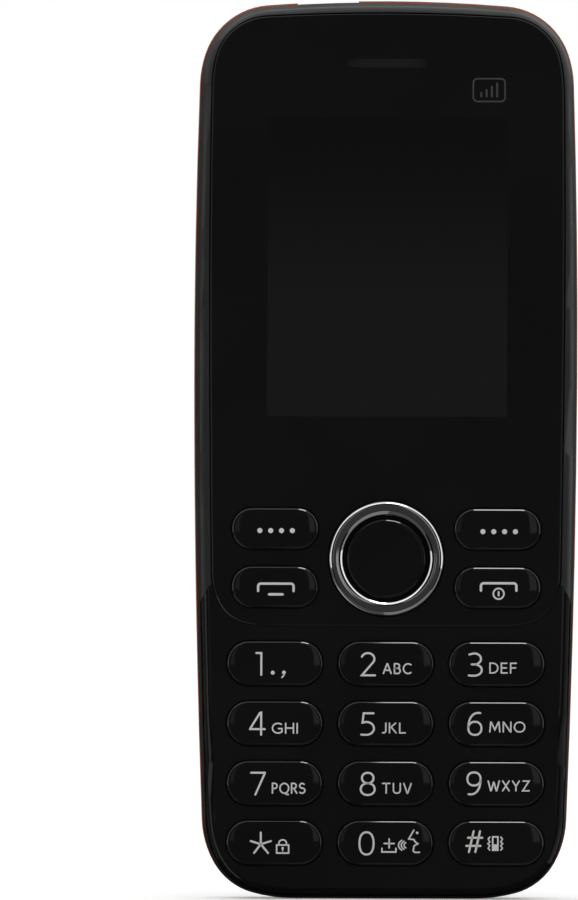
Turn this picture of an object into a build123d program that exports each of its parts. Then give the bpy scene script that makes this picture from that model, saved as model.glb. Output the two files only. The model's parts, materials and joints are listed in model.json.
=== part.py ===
from build123d import *
import math
import os

# Bar-shaped keypad mobile phone, standing upright on its lower end.
# +Z runs up along the phone, the screen faces -Y, +X is to the viewer's right.
# Depths are written as "d": millimetres towards the front, so y = -d.
# The origin is at the bottom centre of the phone's box.

os.makedirs("parts", exist_ok=True)

# ---------------------------------------------------------------- driving dimensions (mm, degrees)
# outline seen from the front: half of the flat foot, then tangent arcs (radius, angle) up the right side
BODY_FLAT = 11.97
BODY_ARCS = [(20.77, 15.197), (8.43, 46.404), (12.64, 26.183), (1638.18, 2.026), (1061.64, 2.129), (13.94, 16.686), (9.42, 66.925)]
WINDOW_BASE = 36.0  # lower edge of the display window above the foot
WINDOW_FLAT = 15.34
WINDOW_ARCS = [(14.06, 14.522), (5.04, 48.874), (9.08, 25.667), (2830.9, 0.722), (1405.93, 1.153), (19.48, 11.573), (7.25, 74.004)]

BACK_D = -7.1  # crest of the back cover
FRONT_D = 6.3  # window, rim and fascia face
BAND_BACK_D, BAND_FRONT_D = 0.7, 1.8  # the coloured band of the middle frame
SHELL_STEP = 0.08  # the band stands proud of both shells by this much
DRAFT = 9.0  # slope of the front housing's side
RIM_RADIUS = 1.1
FASCIA_BACK_D = 4.3  # where the fascia's wrapped edge meets the housing wall
WALL = 1.32
DECK_BACK_D, DECK_FRONT_D = 4.1, 5.1  # plate of the front housing that carries window and fascia
COVER_WALL = 1.3
BACK_FILLET = 3.0
CROWN_X, CROWN_Z, CROWN_MID_Z = 320.0, 2000.0, 62.0  # crown radii of the back, and its crest height

KEY_PITCH_X = 14.65
KEY_ROWS = [31.1, 23.2, 15.3, 7.45]
KEY_W, KEY_H = 12.74, 5.95
FUNCTION_W, FUNCTION_H = 11.5, 5.5
FUNCTION_X, SOFT_Z, CALL_Z = 14.7, 48.9, 41.2
KEY_TOP_D = 6.85
KEY_EDGE = 0.45
KEY_GAP = 0.16  # slot around each key
FLANGE = 0.5
FLANGE_BACK_D, FLANGE_FRONT_D = 4.45, 4.95
NAV_Z = 45.0
NAV_R, NAV_IN_R, NAV_TOP_D = 7.6, 5.63, 7.1
NAV_FLANGE_R = 8.05
OK_R = 5.35

PCB_BACK_D, PCB_FRONT_D = 2.3, 3.1
LCD_W, LCD_Z0, LCD_Z1 = 35.6, 59.6, 105.4
EAR_Z, EAR_W, EAR_H = 110.4, 10.9, 1.2
FLOOR_BACK_D, FLOOR_FRONT_D = -0.2, 0.6
BATTERY_W, BATTERY_Z0, BATTERY_Z1 = 37.0, 22.5, 76.5
BATTERY_BACK_D, BATTERY_FRONT_D = -4.7, -0.45
SPEAKER_Z, SPEAKER_R = 96.0, 10.0
DISH_R = 12.6
JACK_X, JACK_D, JACK_BORE_R = 7.8, -1.4, 1.8
USB_X = -7.8
SCREWS = [(19.9, 109.9), (-19.9, 109.9), (21.1, 56.5), (-21.1, 56.5), (7.33, 19.25), (-7.33, 19.25)]
BOSS_R = 1.7
RETURN_INSET = 0.92  # inner face of the fascia's wrapped edge


def face_plane(d, drop=0.0):
    """Drawing plane at depth d: local x is X, local y is Z, and it looks out of the screen."""
    return Plane(origin=(0, -d, -drop), x_dir=(1, 0, 0), z_dir=(0, -1, 0))


def arc_outline(base, flat, arcs):
    """Half outline of tangent arcs from the bottom centre to the top centre, mirrored and filled."""
    with BuildLine() as chain:
        last = Line((0, base), (flat, base))
        turned = 0.0
        for radius, angle in arcs:
            last = JernArc(start=last @ 1, tangent=last % 1, radius=radius, arc_size=angle)
            turned += angle
        rest = 180.0 - turned
        end = last @ 1
        JernArc(start=end, tangent=last % 1, radius=end.X / math.sin(math.radians(rest)), arc_size=rest)
        mirror(about=Plane.YZ)
    make_face(chain.edges())


def body_shape(inset=0.0):
    arc_outline(0.0, BODY_FLAT, BODY_ARCS)
    if inset:
        offset(amount=-inset, mode=Mode.REPLACE)


def window_shape(grow=0.0):
    arc_outline(WINDOW_BASE, WINDOW_FLAT, WINDOW_ARCS)
    if grow:
        offset(amount=grow, mode=Mode.REPLACE)


def fascia_region(grow=0.0):
    """Everything in front of the lower part: its upper tips run up beside the window and end in rounded shoulders."""
    with BuildLine() as border:
        a = Line((0, -6), (30, -6))
        b = Line(a @ 1, (30, 33.0))
        c = Line(b @ 1, (25.9, 33.0))
        e = Line(c @ 1, (24.78, 35.4))
        f = ThreePointArc(e @ 1, (24.42, 39.2), (23.22, 41.35))
        g = Line(f @ 1, (21.85, 42.1))
        Line(g @ 1, (0, 42.1))
        mirror(about=Plane.YZ)
    make_face(border.edges())
    if grow:
        offset(amount=grow, mode=Mode.REPLACE)


KEY_NAMES = ["key_1", "key_2", "key_3", "key_4", "key_5", "key_6", "key_7", "key_8", "key_9", "key_star", "key_0", "key_hash"]
NUMBER_KEYS = {}
for n, key_name in enumerate(KEY_NAMES):
    NUMBER_KEYS[key_name] = ((n % 3 - 1) * KEY_PITCH_X, KEY_ROWS[n // 3])
FUNCTION_KEYS = {
    "soft_key_left": (-FUNCTION_X, SOFT_Z),
    "soft_key_right": (FUNCTION_X, SOFT_Z),
    "call_key": (-FUNCTION_X, CALL_Z),
    "end_key": (FUNCTION_X, CALL_Z),
}
NUMBER_SPOTS = list(NUMBER_KEYS.values())
FUNCTION_SPOTS = list(FUNCTION_KEYS.values())
NAV_DOMES = [(0, NAV_Z + 6.6), (0, NAV_Z - 6.6), (6.6, NAV_Z), (-6.6, NAV_Z)]
DOME_SPOTS = NUMBER_SPOTS + FUNCTION_SPOTS + [(0, NAV_Z)] + NAV_DOMES
LED_SPOTS = [(7.33, 27.15), (-7.33, 27.15), (7.33, 11.4), (-7.33, 11.4), (10.2, 55.6), (-10.2, 55.6)]


def crest_point(rim_point, crest, x):
    """Point at x on the ball that passes through rim_point and has its crest on the axis."""
    rise = crest - rim_point[1]
    ball = (rim_point[0] ** 2 + rise ** 2) / (2 * abs(rise))
    return (x, crest - math.copysign(ball - math.sqrt(ball * ball - x * x), rise))


def done(part, name):
    if not part.is_valid:
        print("NOT VALID", name)
    part.label = name
    export_step(part, "parts/" + name + ".step")


# ---------------------------------------------------------------- tool bodies for the shells
with BuildPart() as front_envelope:
    with BuildSketch(face_plane(BAND_FRONT_D, SHELL_STEP)):
        body_shape(SHELL_STEP)
    extrude(amount=FRONT_D - BAND_FRONT_D, taper=DRAFT)
    fillet(front_envelope.faces().sort_by(Axis.Y)[0].edges(), RIM_RADIUS)


def crowned_block(drop):
    """Solid in front of the doubly crowned back surface, which lies drop below the outer one."""
    top = -BACK_D - drop
    half = 34.0
    radius = CROWN_X - drop
    sag = radius - math.sqrt(radius * radius - half * half)
    with BuildSketch(Plane(origin=(0, 0, CROWN_MID_Z), x_dir=(1, 0, 0), z_dir=(0, 0, 1))) as section:
        with BuildLine():
            low = Line((-half, -12), (half, -12))
            right = Line(low @ 1, (half, top - sag))
            over = ThreePointArc(right @ 1, (0, top), (-half, top - sag))
            Line(over @ 1, low @ 0)
        make_face()
    span = math.degrees(75.0 / CROWN_Z)
    axis = Axis((0, top - (CROWN_Z - drop), CROWN_MID_Z), (1, 0, 0))
    revolve(section.sketch, axis=axis, revolution_arc=span)


with BuildPart() as crown_outer_up:
    crowned_block(0.0)
with BuildPart() as crown_inner_up:
    crowned_block(COVER_WALL)

with BuildPart() as crown_outer:
    add(crown_outer_up.part)
    mirror(about=Plane.XY.offset(CROWN_MID_Z))
with BuildPart() as crown_inner:
    add(crown_inner_up.part)
    mirror(about=Plane.XY.offset(CROWN_MID_Z))

with BuildPart() as back_envelope:
    with BuildSketch(face_plane(BAND_BACK_D, SHELL_STEP)):
        body_shape(SHELL_STEP)
    extrude(amount=-10.0)
    add(crown_outer.part, mode=Mode.INTERSECT)
    back_rim = back_envelope.faces().sort_by(Axis.Y)[-1].edges()
    fillet(back_rim, BACK_FILLET)

with BuildPart() as back_hollow:
    with BuildSketch(face_plane(BAND_BACK_D + 0.5, SHELL_STEP)):
        body_shape(SHELL_STEP + COVER_WALL)
    extrude(amount=-10.0)
    add(crown_inner.part, mode=Mode.INTERSECT)
    fillet(back_hollow.faces().sort_by(Axis.Y)[-1].edges(), BACK_FILLET - COVER_WALL)

# ---------------------------------------------------------------- front housing: matte rim, deck and screw bosses
with BuildPart() as front_housing:
    add(front_envelope.part)
    # hollow behind the deck
    with BuildSketch(face_plane(BAND_FRONT_D - 0.1)):
        body_shape(WALL + SHELL_STEP)
    extrude(amount=DECK_BACK_D - BAND_FRONT_D + 0.1, mode=Mode.SUBTRACT)
    # pocket for the display window
    with BuildSketch(face_plane(DECK_FRONT_D)):
        window_shape(0.12)
    extrude(amount=2.0, mode=Mode.SUBTRACT)
    # rebate for the fascia: its edge wraps down the sides and the foot
    with BuildSketch(face_plane(DECK_FRONT_D)):
        fascia_region(0.05)
    extrude(amount=2.0, mode=Mode.SUBTRACT)
    with BuildSketch(face_plane(FASCIA_BACK_D)):
        fascia_region(0.05)
        with BuildSketch(mode=Mode.PRIVATE) as deck_core:
            body_shape(RETURN_INSET + 0.05)
        add(deck_core.sketch, mode=Mode.SUBTRACT)
    extrude(amount=2.0, mode=Mode.SUBTRACT)
    # opening for the display, the keys and the ring
    with BuildSketch(face_plane(DECK_BACK_D - 0.1)):
        with Locations((0, (LCD_Z0 + LCD_Z1) / 2)):
            Rectangle(LCD_W + 0.4, LCD_Z1 - LCD_Z0 + 0.4)
        with Locations(*NUMBER_SPOTS):
            SlotOverall(KEY_W + 2 * FLANGE + 0.2, KEY_H + 2 * FLANGE + 0.2)
        with Locations(*FUNCTION_SPOTS):
            SlotOverall(FUNCTION_W + 2 * FLANGE + 0.2, FUNCTION_H + 2 * FLANGE + 0.2)
        with Locations((0, NAV_Z)):
            Circle(NAV_FLANGE_R + 0.3)
    extrude(amount=DECK_FRONT_D - DECK_BACK_D + 0.2, mode=Mode.SUBTRACT)
    # seat of the receiver and its sound slot
    with BuildSketch(face_plane(DECK_BACK_D - 0.1)):
        with Locations((0, EAR_Z)):
            Rectangle(12.9, 6.9)
    extrude(amount=0.75, mode=Mode.SUBTRACT)
    with BuildSketch(face_plane(DECK_BACK_D)):
        with Locations((0, EAR_Z)):
            SlotOverall(11.7, 2.0)
    extrude(amount=1.2, mode=Mode.SUBTRACT)
    # screw bosses reach back to the middle frame's floor
    with BuildSketch(face_plane(FLOOR_FRONT_D)):
        with Locations(*SCREWS):
            Circle(BOSS_R)
    extrude(amount=DECK_BACK_D - FLOOR_FRONT_D + 0.3)
    with BuildSketch(face_plane(FLOOR_FRONT_D)):
        with Locations(*SCREWS):
            Circle(0.7)
    extrude(amount=3.2, mode=Mode.SUBTRACT)
done(front_housing.part, "front_housing")

# ---------------------------------------------------------------- glossy keypad fascia
with BuildPart() as keypad_fascia:
    add(front_envelope.part)
    with BuildSketch(face_plane(FASCIA_BACK_D)):
        fascia_region()
    extrude(amount=3.0, mode=Mode.INTERSECT)
    # hollow behind the plate, so that the edge is a thin return around the deck
    with BuildSketch(face_plane(FASCIA_BACK_D - 0.1)):
        body_shape(RETURN_INSET)
    extrude(amount=DECK_FRONT_D - FASCIA_BACK_D + 0.1, mode=Mode.SUBTRACT)
    with BuildSketch(face_plane(FASCIA_BACK_D - 0.1)):
        window_shape(0.1)
    extrude(amount=3.0, mode=Mode.SUBTRACT)
    with BuildSketch(face_plane(FASCIA_BACK_D - 0.1)):
        with Locations(*NUMBER_SPOTS):
            SlotOverall(KEY_W + 2 * KEY_GAP, KEY_H + 2 * KEY_GAP)
    extrude(amount=3.0, mode=Mode.SUBTRACT)
done(keypad_fascia.part, "keypad_fascia")

# ---------------------------------------------------------------- display window with the upper key openings
with BuildPart() as display_window:
    with BuildSketch(face_plane(DECK_FRONT_D)):
        window_shape()
    extrude(amount=FRONT_D - DECK_FRONT_D)
    fillet(display_window.faces().sort_by(Axis.Y)[0].edges(), 0.3)
    with BuildSketch(face_plane(DECK_FRONT_D - 0.1)):
        with Locations(*FUNCTION_SPOTS):
            SlotOverall(FUNCTION_W + 2 * KEY_GAP, FUNCTION_H + 2 * KEY_GAP)
        with Locations((0, NAV_Z)):
            Circle(NAV_R + KEY_GAP)
        with Locations((0, EAR_Z)):
            SlotOverall(EAR_W, EAR_H)
    extrude(amount=2.0, mode=Mode.SUBTRACT)
done(display_window.part, "display_window")

# ---------------------------------------------------------------- middle frame: coloured band, floor, battery bay
with BuildPart() as mid_frame:
    with BuildSketch(face_plane(BAND_BACK_D)):
        body_shape()
    extrude(amount=BAND_FRONT_D - BAND_BACK_D)
    # inner wall that the cover slips over
    with BuildSketch(face_plane(-1.4)):
        body_shape(SHELL_STEP + COVER_WALL + 0.22)
    extrude(amount=BAND_BACK_D + 1.4)
    with BuildSketch(face_plane(FLOOR_FRONT_D)):
        body_shape(2.4)
    extrude(amount=BAND_FRONT_D - FLOOR_FRONT_D, mode=Mode.SUBTRACT)
    with BuildSketch(face_plane(-1.5)):
        body_shape(2.4)
    extrude(amount=FLOOR_BACK_D + 1.5, mode=Mode.SUBTRACT)
    with BuildSketch(face_plane(FLOOR_FRONT_D)):
        with Locations(*SCREWS):
            Circle(BOSS_R + 0.1)
    extrude(amount=2.0, mode=Mode.SUBTRACT)
    # battery bay walls
    with BuildSketch(face_plane(-4.0)):
        with Locations((0, (BATTERY_Z0 + BATTERY_Z1) / 2)):
            Rectangle(BATTERY_W + 2.1, BATTERY_Z1 - BATTERY_Z0 + 2.1)
            Rectangle(BATTERY_W + 0.5, BATTERY_Z1 - BATTERY_Z0 + 0.5, mode=Mode.SUBTRACT)
    extrude(amount=4.0 + FLOOR_BACK_D + 0.1)
    # round seat of the loudspeaker
    with BuildSketch(face_plane(-3.4)):
        with Locations((0, SPEAKER_Z)):
            Circle(SPEAKER_R + 1.1)
            Circle(SPEAKER_R + 0.25, mode=Mode.SUBTRACT)
    extrude(amount=3.4 + FLOOR_BACK_D + 0.1)
    # land around the headphone socket, seen in the cover's top notch
    with BuildSketch(face_plane(-4.45)):
        body_shape(0.4)
        with Locations((JACK_X, 116.9)):
            Rectangle(5.4, 5.0, mode=Mode.INTERSECT)
    extrude(amount=4.45 + BAND_BACK_D + 0.1)
    # fingernail ramp of the same colour behind the cover's bottom notch
    with BuildSketch(face_plane(-2.6)):
        with Locations((0, 1.55)):
            Rectangle(5.6, 1.9)
    extrude(amount=2.6 + BAND_BACK_D)
    # barrel and body of the headphone socket
    with BuildSketch(Plane.XY.offset(114.0)):
        with Locations((JACK_X, -JACK_D)):
            Circle(2.45)
    extrude(amount=6.0, mode=Mode.SUBTRACT)
    with BuildSketch(face_plane(-4.6)):
        with Locations((JACK_X, 110.45)):
            Rectangle(6.2, 9.3)
    extrude(amount=7.0, mode=Mode.SUBTRACT)
    # charging socket
    with BuildSketch(Plane.XY.offset(111.6)):
        with Locations((USB_X, -0.43)):
            Rectangle(8.1, 2.75)
    extrude(amount=8.0, mode=Mode.SUBTRACT)
    # windows for the card sockets and the battery contacts
    with BuildSketch(face_plane(-0.3)):
        with Locations((-10.0, 33.0), (10.0, 33.0)):
            Rectangle(13.0, 11.0)
        with Locations((0, 50.0)):
            Rectangle(10.5, 10.0)
        with Locations((0, 79.95)):
            Rectangle(10.6, 3.0)
    extrude(amount=1.0, mode=Mode.SUBTRACT)
    with BuildSketch(face_plane(-4.1)):
        with Locations((0, 78.2)):
            Rectangle(10.6, 3.0)
    extrude(amount=4.3, mode=Mode.SUBTRACT)
    # screw holes
    with BuildSketch(face_plane(-0.3)):
        with Locations(*SCREWS):
            Circle(0.8)
    extrude(amount=1.0, mode=Mode.SUBTRACT)
    # sound hole of the microphone in the foot
    with BuildSketch(Plane.XY.offset(-1.0)):
        with Locations((8.6, -1.25)):
            Circle(0.45)
    extrude(amount=5.0, mode=Mode.SUBTRACT)
done(mid_frame.part, "mid_frame")

# ---------------------------------------------------------------- back cover, and the perforated dish let into it
GRILLE_R = 12.0
dish_y = -BACK_D - (SPEAKER_Z - CROWN_MID_Z) ** 2 / (2 * CROWN_Z)
SPEAKER_RINGS = [(11.4, 0.30), (10.6, 0.30), (9.6, 0.37), (8.75, 0.31), (7.8, 0.30), (7.0, 0.29), (6.15, 0.29)]
grille_section = Plane(origin=(0, 0, SPEAKER_Z), x_dir=(1, 0, 0), z_dir=(0, 0, 1))
with BuildPart() as speaker_grille:
    # plain raised centre, then a shallow ring-shaped dish
    with BuildSketch(grille_section):
        with BuildLine():
            Polyline(
                (0, 5.15),
                (0, dish_y - 0.08),
                (4.6, dish_y - 0.08),
                (4.9, dish_y - 0.22),
                (5.3, dish_y - 0.52),
                (7.6, dish_y - 0.68),
                (GRILLE_R, dish_y - 0.30),
                (GRILLE_R, 5.15),
                close=True,
            )
        make_face()
    revolve(axis=Axis((0, 0, SPEAKER_Z), (0, 1, 0)))
    # seven rings of sound holes, every other ring turned by half a step
    with BuildSketch(face_plane(-9.0)):
        for ring, (ring_r, hole_r) in enumerate(SPEAKER_RINGS):
            with Locations((0, SPEAKER_Z)):
                with PolarLocations(ring_r, 24, start_angle=7.5 * (ring % 2)):
                    Circle(hole_r)
    extrude(amount=5.0, mode=Mode.SUBTRACT)
done(speaker_grille.part, "speaker_grille")

with BuildPart() as back_cover:
    add(back_envelope.part)
    add(back_hollow.part, mode=Mode.SUBTRACT)
    # round opening whose edge carries on the slope of the dish
    with BuildSketch(grille_section):
        with BuildLine():
            Polyline(
                (0, 2.0),
                (GRILLE_R, 2.0),
                (GRILLE_R, dish_y - 0.30),
                (14.0, dish_y - 0.13),
                (14.0, dish_y + 2),
                (0, dish_y + 2),
                close=True,
            )
        make_face()
    revolve(axis=Axis((0, 0, SPEAKER_Z), (0, 1, 0)), mode=Mode.SUBTRACT)
    # top notch around the headphone socket
    with BuildSketch(face_plane(-4.6)):
        with Locations((JACK_X, 118.0)):
            Rectangle(5.7, 7.6)
    extrude(amount=6.0, mode=Mode.SUBTRACT)
    # cut for the charging socket
    with BuildSketch(face_plane(-1.1)):
        with Locations((USB_X, 118.0)):
            Rectangle(8.3, 6.0)
    extrude(amount=3.0, mode=Mode.SUBTRACT)
    # fingernail notch at the foot
    with BuildSketch(face_plane(-9.0)):
        with BuildLine():
            up = ThreePointArc((-1.9, -0.5), (0, 1.0), (1.9, -0.5))
            Line(up @ 1, up @ 0)
        make_face()
    extrude(amount=6.4, mode=Mode.SUBTRACT)
    # room for the fingernail ramp
    with BuildSketch(face_plane(-2.75)):
        with Locations((0, 0.6)):
            Rectangle(6.0, 4.2)
    extrude(amount=4.0, mode=Mode.SUBTRACT)
done(back_cover.part, "back_cover")

# ---------------------------------------------------------------- keys
def key_cap(spot, width, height):
    with BuildSketch(face_plane(FLANGE_BACK_D)) as flange:
        with Locations(spot):
            SlotOverall(width + 2 * FLANGE, height + 2 * FLANGE)
    extrude(flange.sketch, amount=FLANGE_FRONT_D - FLANGE_BACK_D)
    with BuildSketch(face_plane(FLANGE_FRONT_D)) as cap:
        with Locations(spot):
            SlotOverall(width, height)
    extrude(cap.sketch, amount=KEY_TOP_D - FLANGE_FRONT_D)


for key_name, spot in NUMBER_KEYS.items():
    with BuildPart() as key:
        key_cap(spot, KEY_W, KEY_H)
        fillet(key.faces().sort_by(Axis.Y)[0].edges(), KEY_EDGE)
    done(key.part, key_name)

for key_name, spot in FUNCTION_KEYS.items():
    with BuildPart() as key:
        key_cap(spot, FUNCTION_W, FUNCTION_H)
        fillet(key.faces().sort_by(Axis.Y)[0].edges(), KEY_EDGE)
    done(key.part, key_name)

# central confirm key, with its plunger
with BuildPart() as ok_key:
    with BuildSketch(Plane(origin=(0, 0, NAV_Z), x_dir=(1, 0, 0), z_dir=(0, 0, 1))):
        with BuildLine():
            Polyline((0, -3.75), (1.5, -3.75), (1.5, -4.3), (OK_R, -4.3), (OK_R, -4.55), (6.05, -4.55), (6.05, -4.9), (OK_R, -4.9), (OK_R, -6.1))
            edge = ThreePointArc((OK_R, -6.1), (OK_R - 0.22, -6.5), (OK_R - 0.75, -6.66))
            dome = ThreePointArc(edge @ 1, crest_point((OK_R - 0.75, -6.66), -6.76, 2.4), (0, -6.76))
            Line(dome @ 1, (0, -3.75))
        make_face()
    revolve(axis=Axis((0, 0, NAV_Z), (0, 1, 0)))
done(ok_key.part, "ok_key")

# navigation ring: raised outer lip, groove, raised inner lip
with BuildPart() as nav_ring:
    with BuildSketch(Plane(origin=(0, 0, NAV_Z), x_dir=(1, 0, 0), z_dir=(0, 0, 1))):
        with BuildLine():
            Polyline((NAV_IN_R, -6.35), (NAV_IN_R, -5.3), (6.3, -5.3), (6.3, -4.5), (NAV_FLANGE_R, -4.5), (NAV_FLANGE_R, -4.85), (NAV_R, -4.85), (NAV_R, -6.5))
            outer_lip = ThreePointArc((NAV_R, -6.5), (NAV_R - 0.5, -NAV_TOP_D), (NAV_R - 0.98, -6.72))
            groove = ThreePointArc(outer_lip @ 1, (NAV_R - 1.15, -6.62), (NAV_R - 1.32, -6.68))
            ThreePointArc(groove @ 1, (NAV_R - 1.66, -6.82), (NAV_IN_R, -6.35))
        make_face()
    revolve(axis=Axis((0, 0, NAV_Z), (0, 1, 0)))
done(nav_ring.part, "nav_ring")

# silicone island under the ring, with four pips
with BuildPart() as nav_actuator:
    with BuildSketch(face_plane(3.75)):
        with Locations((0, NAV_Z)):
            Circle(7.8)
            Circle(6.2, mode=Mode.SUBTRACT)
    extrude(amount=0.45)
    with BuildSketch(face_plane(3.6)):
        with Locations((0, NAV_Z)):
            with PolarLocations(7.0, 4):
                Circle(0.7)
    extrude(amount=0.3)
done(nav_actuator.part, "nav_actuator")

# ---------------------------------------------------------------- keypad stack
with BuildPart() as keypad_membrane:
    with BuildSketch(face_plane(3.8)):
        body_shape(2.1)
        with Locations((0, 27.3)):
            Rectangle(60, 52.6, mode=Mode.INTERSECT)
        with Locations((0, NAV_Z)):
            Circle(8.4, mode=Mode.SUBTRACT)
        with Locations(*SCREWS[4:]):
            Circle(BOSS_R + 0.15, mode=Mode.SUBTRACT)
    extrude(amount=0.25)
    with BuildSketch(face_plane(3.42)):
        with Locations(*(NUMBER_SPOTS + FUNCTION_SPOTS)):
            Circle(1.2)
    extrude(amount=0.5)
done(keypad_membrane.part, "keypad_membrane")

with BuildPart() as dome_sheet:
    with BuildSketch(face_plane(PCB_FRONT_D)):
        body_shape(2.3)
        with Locations((0, 27.3)):
            Rectangle(60, 53.0, mode=Mode.INTERSECT)
        with Locations(*SCREWS[4:]):
            Circle(BOSS_R + 0.15, mode=Mode.SUBTRACT)
        with Locations(*LED_SPOTS[:4]):
            Rectangle(2.2, 1.4, mode=Mode.SUBTRACT)
    extrude(amount=0.08)
done(dome_sheet.part, "dome_sheet")

with BuildPart() as key_domes:
    with BuildSketch(face_plane(PCB_FRONT_D + 0.08)):
        with Locations(*DOME_SPOTS):
            Circle(2.0)
    extrude(amount=0.18, taper=70)
done(key_domes.part, "key_domes")

with BuildPart() as keypad_leds:
    with BuildSketch(face_plane(PCB_FRONT_D)):
        with Locations(*LED_SPOTS):
            Rectangle(1.6, 0.8)
    extrude(amount=0.45)
done(keypad_leds.part, "keypad_leds")

# ---------------------------------------------------------------- circuit board and what sits on it
with BuildPart() as main_circuit_board:
    with BuildSketch(face_plane(PCB_BACK_D)):
        body_shape(1.75)
        with Locations(*SCREWS):
            Circle(BOSS_R + 0.15, mode=Mode.SUBTRACT)
        with Locations((0, EAR_Z)):
            Rectangle(13.2, 7.2, mode=Mode.SUBTRACT)
    extrude(amount=PCB_FRONT_D - PCB_BACK_D)
done(main_circuit_board.part, "main_circuit_board")

with BuildPart() as baseband_chip:
    with Locations((-9.5, -1.85, 68.0)):
        Box(9.0, 0.9, 9.0)
done(baseband_chip.part, "baseband_chip")

with BuildPart() as radio_chip:
    with Locations((9.5, -1.9, 68.0)):
        Box(5.5, 0.8, 5.5)
done(radio_chip.part, "radio_chip")

with BuildPart() as rf_shields:
    with BuildSketch(face_plane(0.95)):
        with Locations((-9.5, 68.0), (9.5, 68.0)):
            RectangleRounded(17.0, 15.6, 0.8)
    extrude(amount=PCB_BACK_D - 0.95)
    with BuildSketch(face_plane(1.15)):
        with Locations((-9.5, 68.0), (9.5, 68.0)):
            RectangleRounded(16.6, 15.2, 0.6)
    extrude(amount=2.0, mode=Mode.SUBTRACT)
done(rf_shields.part, "rf_shields")


def card_socket(centre, width, height, slot_w):
    """Folded metal cage over a card slot, open at its lower end."""
    with BuildSketch(face_plane(0.95)) as cage:
        with Locations(centre):
            Rectangle(width, height)
    extrude(cage.sketch, amount=PCB_BACK_D - 0.95)
    with BuildSketch(face_plane(1.15)) as slot:
        with Locations((centre[0], centre[1] - 0.6)):
            Rectangle(slot_w, height)
    extrude(slot.sketch, amount=0.85, mode=Mode.SUBTRACT)


with BuildPart() as sim_socket_1:
    card_socket((-10.0, 33.0), 14.5, 12.4, 12.4)
done(sim_socket_1.part, "sim_socket_1")
with BuildPart() as sim_socket_2:
    card_socket((10.0, 33.0), 14.5, 12.4, 12.4)
done(sim_socket_2.part, "sim_socket_2")
with BuildPart() as memory_card_socket:
    card_socket((0.0, 50.0), 12.6, 11.6, 11.1)
done(memory_card_socket.part, "memory_card_socket")

# spring contacts of the battery: insulating block and three blades
with BuildPart() as contact_block:
    with BuildSketch(face_plane(-3.3)):
        with Locations((0, 79.9)):
            Rectangle(10.0, 2.6)
    extrude(amount=3.3 + PCB_BACK_D)
    with BuildSketch(face_plane(-3.0)):
        with Locations((-3.0, 78.75), (0, 78.75), (3.0, 78.75)):
            Rectangle(1.5, 0.9)
    extrude(amount=2.4, mode=Mode.SUBTRACT)
done(contact_block.part, "contact_block")
with BuildPart() as battery_contacts:
    with BuildSketch(face_plane(-2.9)):
        with Locations((-3.0, 78.1), (0, 78.1), (3.0, 78.1)):
            Rectangle(1.2, 1.9)
    extrude(amount=2.2)
    fillet(battery_contacts.edges().filter_by(Axis.X).group_by(Axis.Z)[0], 0.6)
done(battery_contacts.part, "battery_contacts")

# ---------------------------------------------------------------- display module
with BuildPart() as lcd_panel:
    with BuildSketch(face_plane(4.0)):
        with Locations((0, (LCD_Z0 + LCD_Z1) / 2)):
            Rectangle(LCD_W, LCD_Z1 - LCD_Z0)
    extrude(amount=1.05)
done(lcd_panel.part, "lcd_panel")
with BuildPart() as lcd_backlight:
    with BuildSketch(face_plane(3.15)):
        with Locations((0, (LCD_Z0 + LCD_Z1) / 2)):
            RectangleRounded(LCD_W, LCD_Z1 - LCD_Z0, 0.6)
    extrude(amount=0.8)
done(lcd_backlight.part, "lcd_backlight")
with BuildPart() as lcd_ribbon:
    with BuildSketch(face_plane(3.15)):
        with Locations((0, LCD_Z0 - 2.7)):
            Rectangle(14.0, 5.2)
    extrude(amount=0.15)
done(lcd_ribbon.part, "lcd_ribbon")

# ---------------------------------------------------------------- sound parts, motor, aerial
with BuildPart() as earpiece_receiver:
    with BuildSketch(face_plane(2.75)):
        with Locations((0, EAR_Z)):
            RectangleRounded(12.5, 6.5, 1.2)
    extrude(amount=1.9)
done(earpiece_receiver.part, "earpiece_receiver")
with BuildPart() as earpiece_mesh:
    with BuildSketch(face_plane(4.8)):
        with Locations((0, EAR_Z)):
            SlotOverall(11.5, 1.8)
    extrude(amount=0.28)
done(earpiece_mesh.part, "earpiece_mesh")

with BuildPart() as loudspeaker:
    with BuildSketch(Plane(origin=(0, 0, SPEAKER_Z), x_dir=(1, 0, 0), z_dir=(0, 0, 1))):
        with BuildLine():
            Polyline((0, 0.4), (6.4, 0.4), (6.4, 2.0), (SPEAKER_R, 2.6), (SPEAKER_R, 4.75), (8.6, 4.75), (8.6, 4.3))
            Polyline((8.6, 4.3), (6.9, 4.5), (4.4, 4.0))
            cap = ThreePointArc((4.4, 4.0), crest_point((4.4, 4.0), 4.6, 2.4), (0, 4.6))
            Line(cap @ 1, (0, 0.4))
        make_face()
    revolve(axis=Axis((0, 0, SPEAKER_Z), (0, 1, 0)))
done(loudspeaker.part, "loudspeaker")
with BuildPart() as speaker_gasket:
    with BuildSketch(face_plane(-5.05)):
        with Locations((0, SPEAKER_Z)):
            Circle(SPEAKER_R)
            Circle(8.7, mode=Mode.SUBTRACT)
    extrude(amount=0.3)
done(speaker_gasket.part, "speaker_gasket")

with BuildPart() as microphone:
    with Locations((8.6, -1.6, 4.6)):
        Box(3.8, 1.4, 3.0)
done(microphone.part, "microphone")

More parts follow.
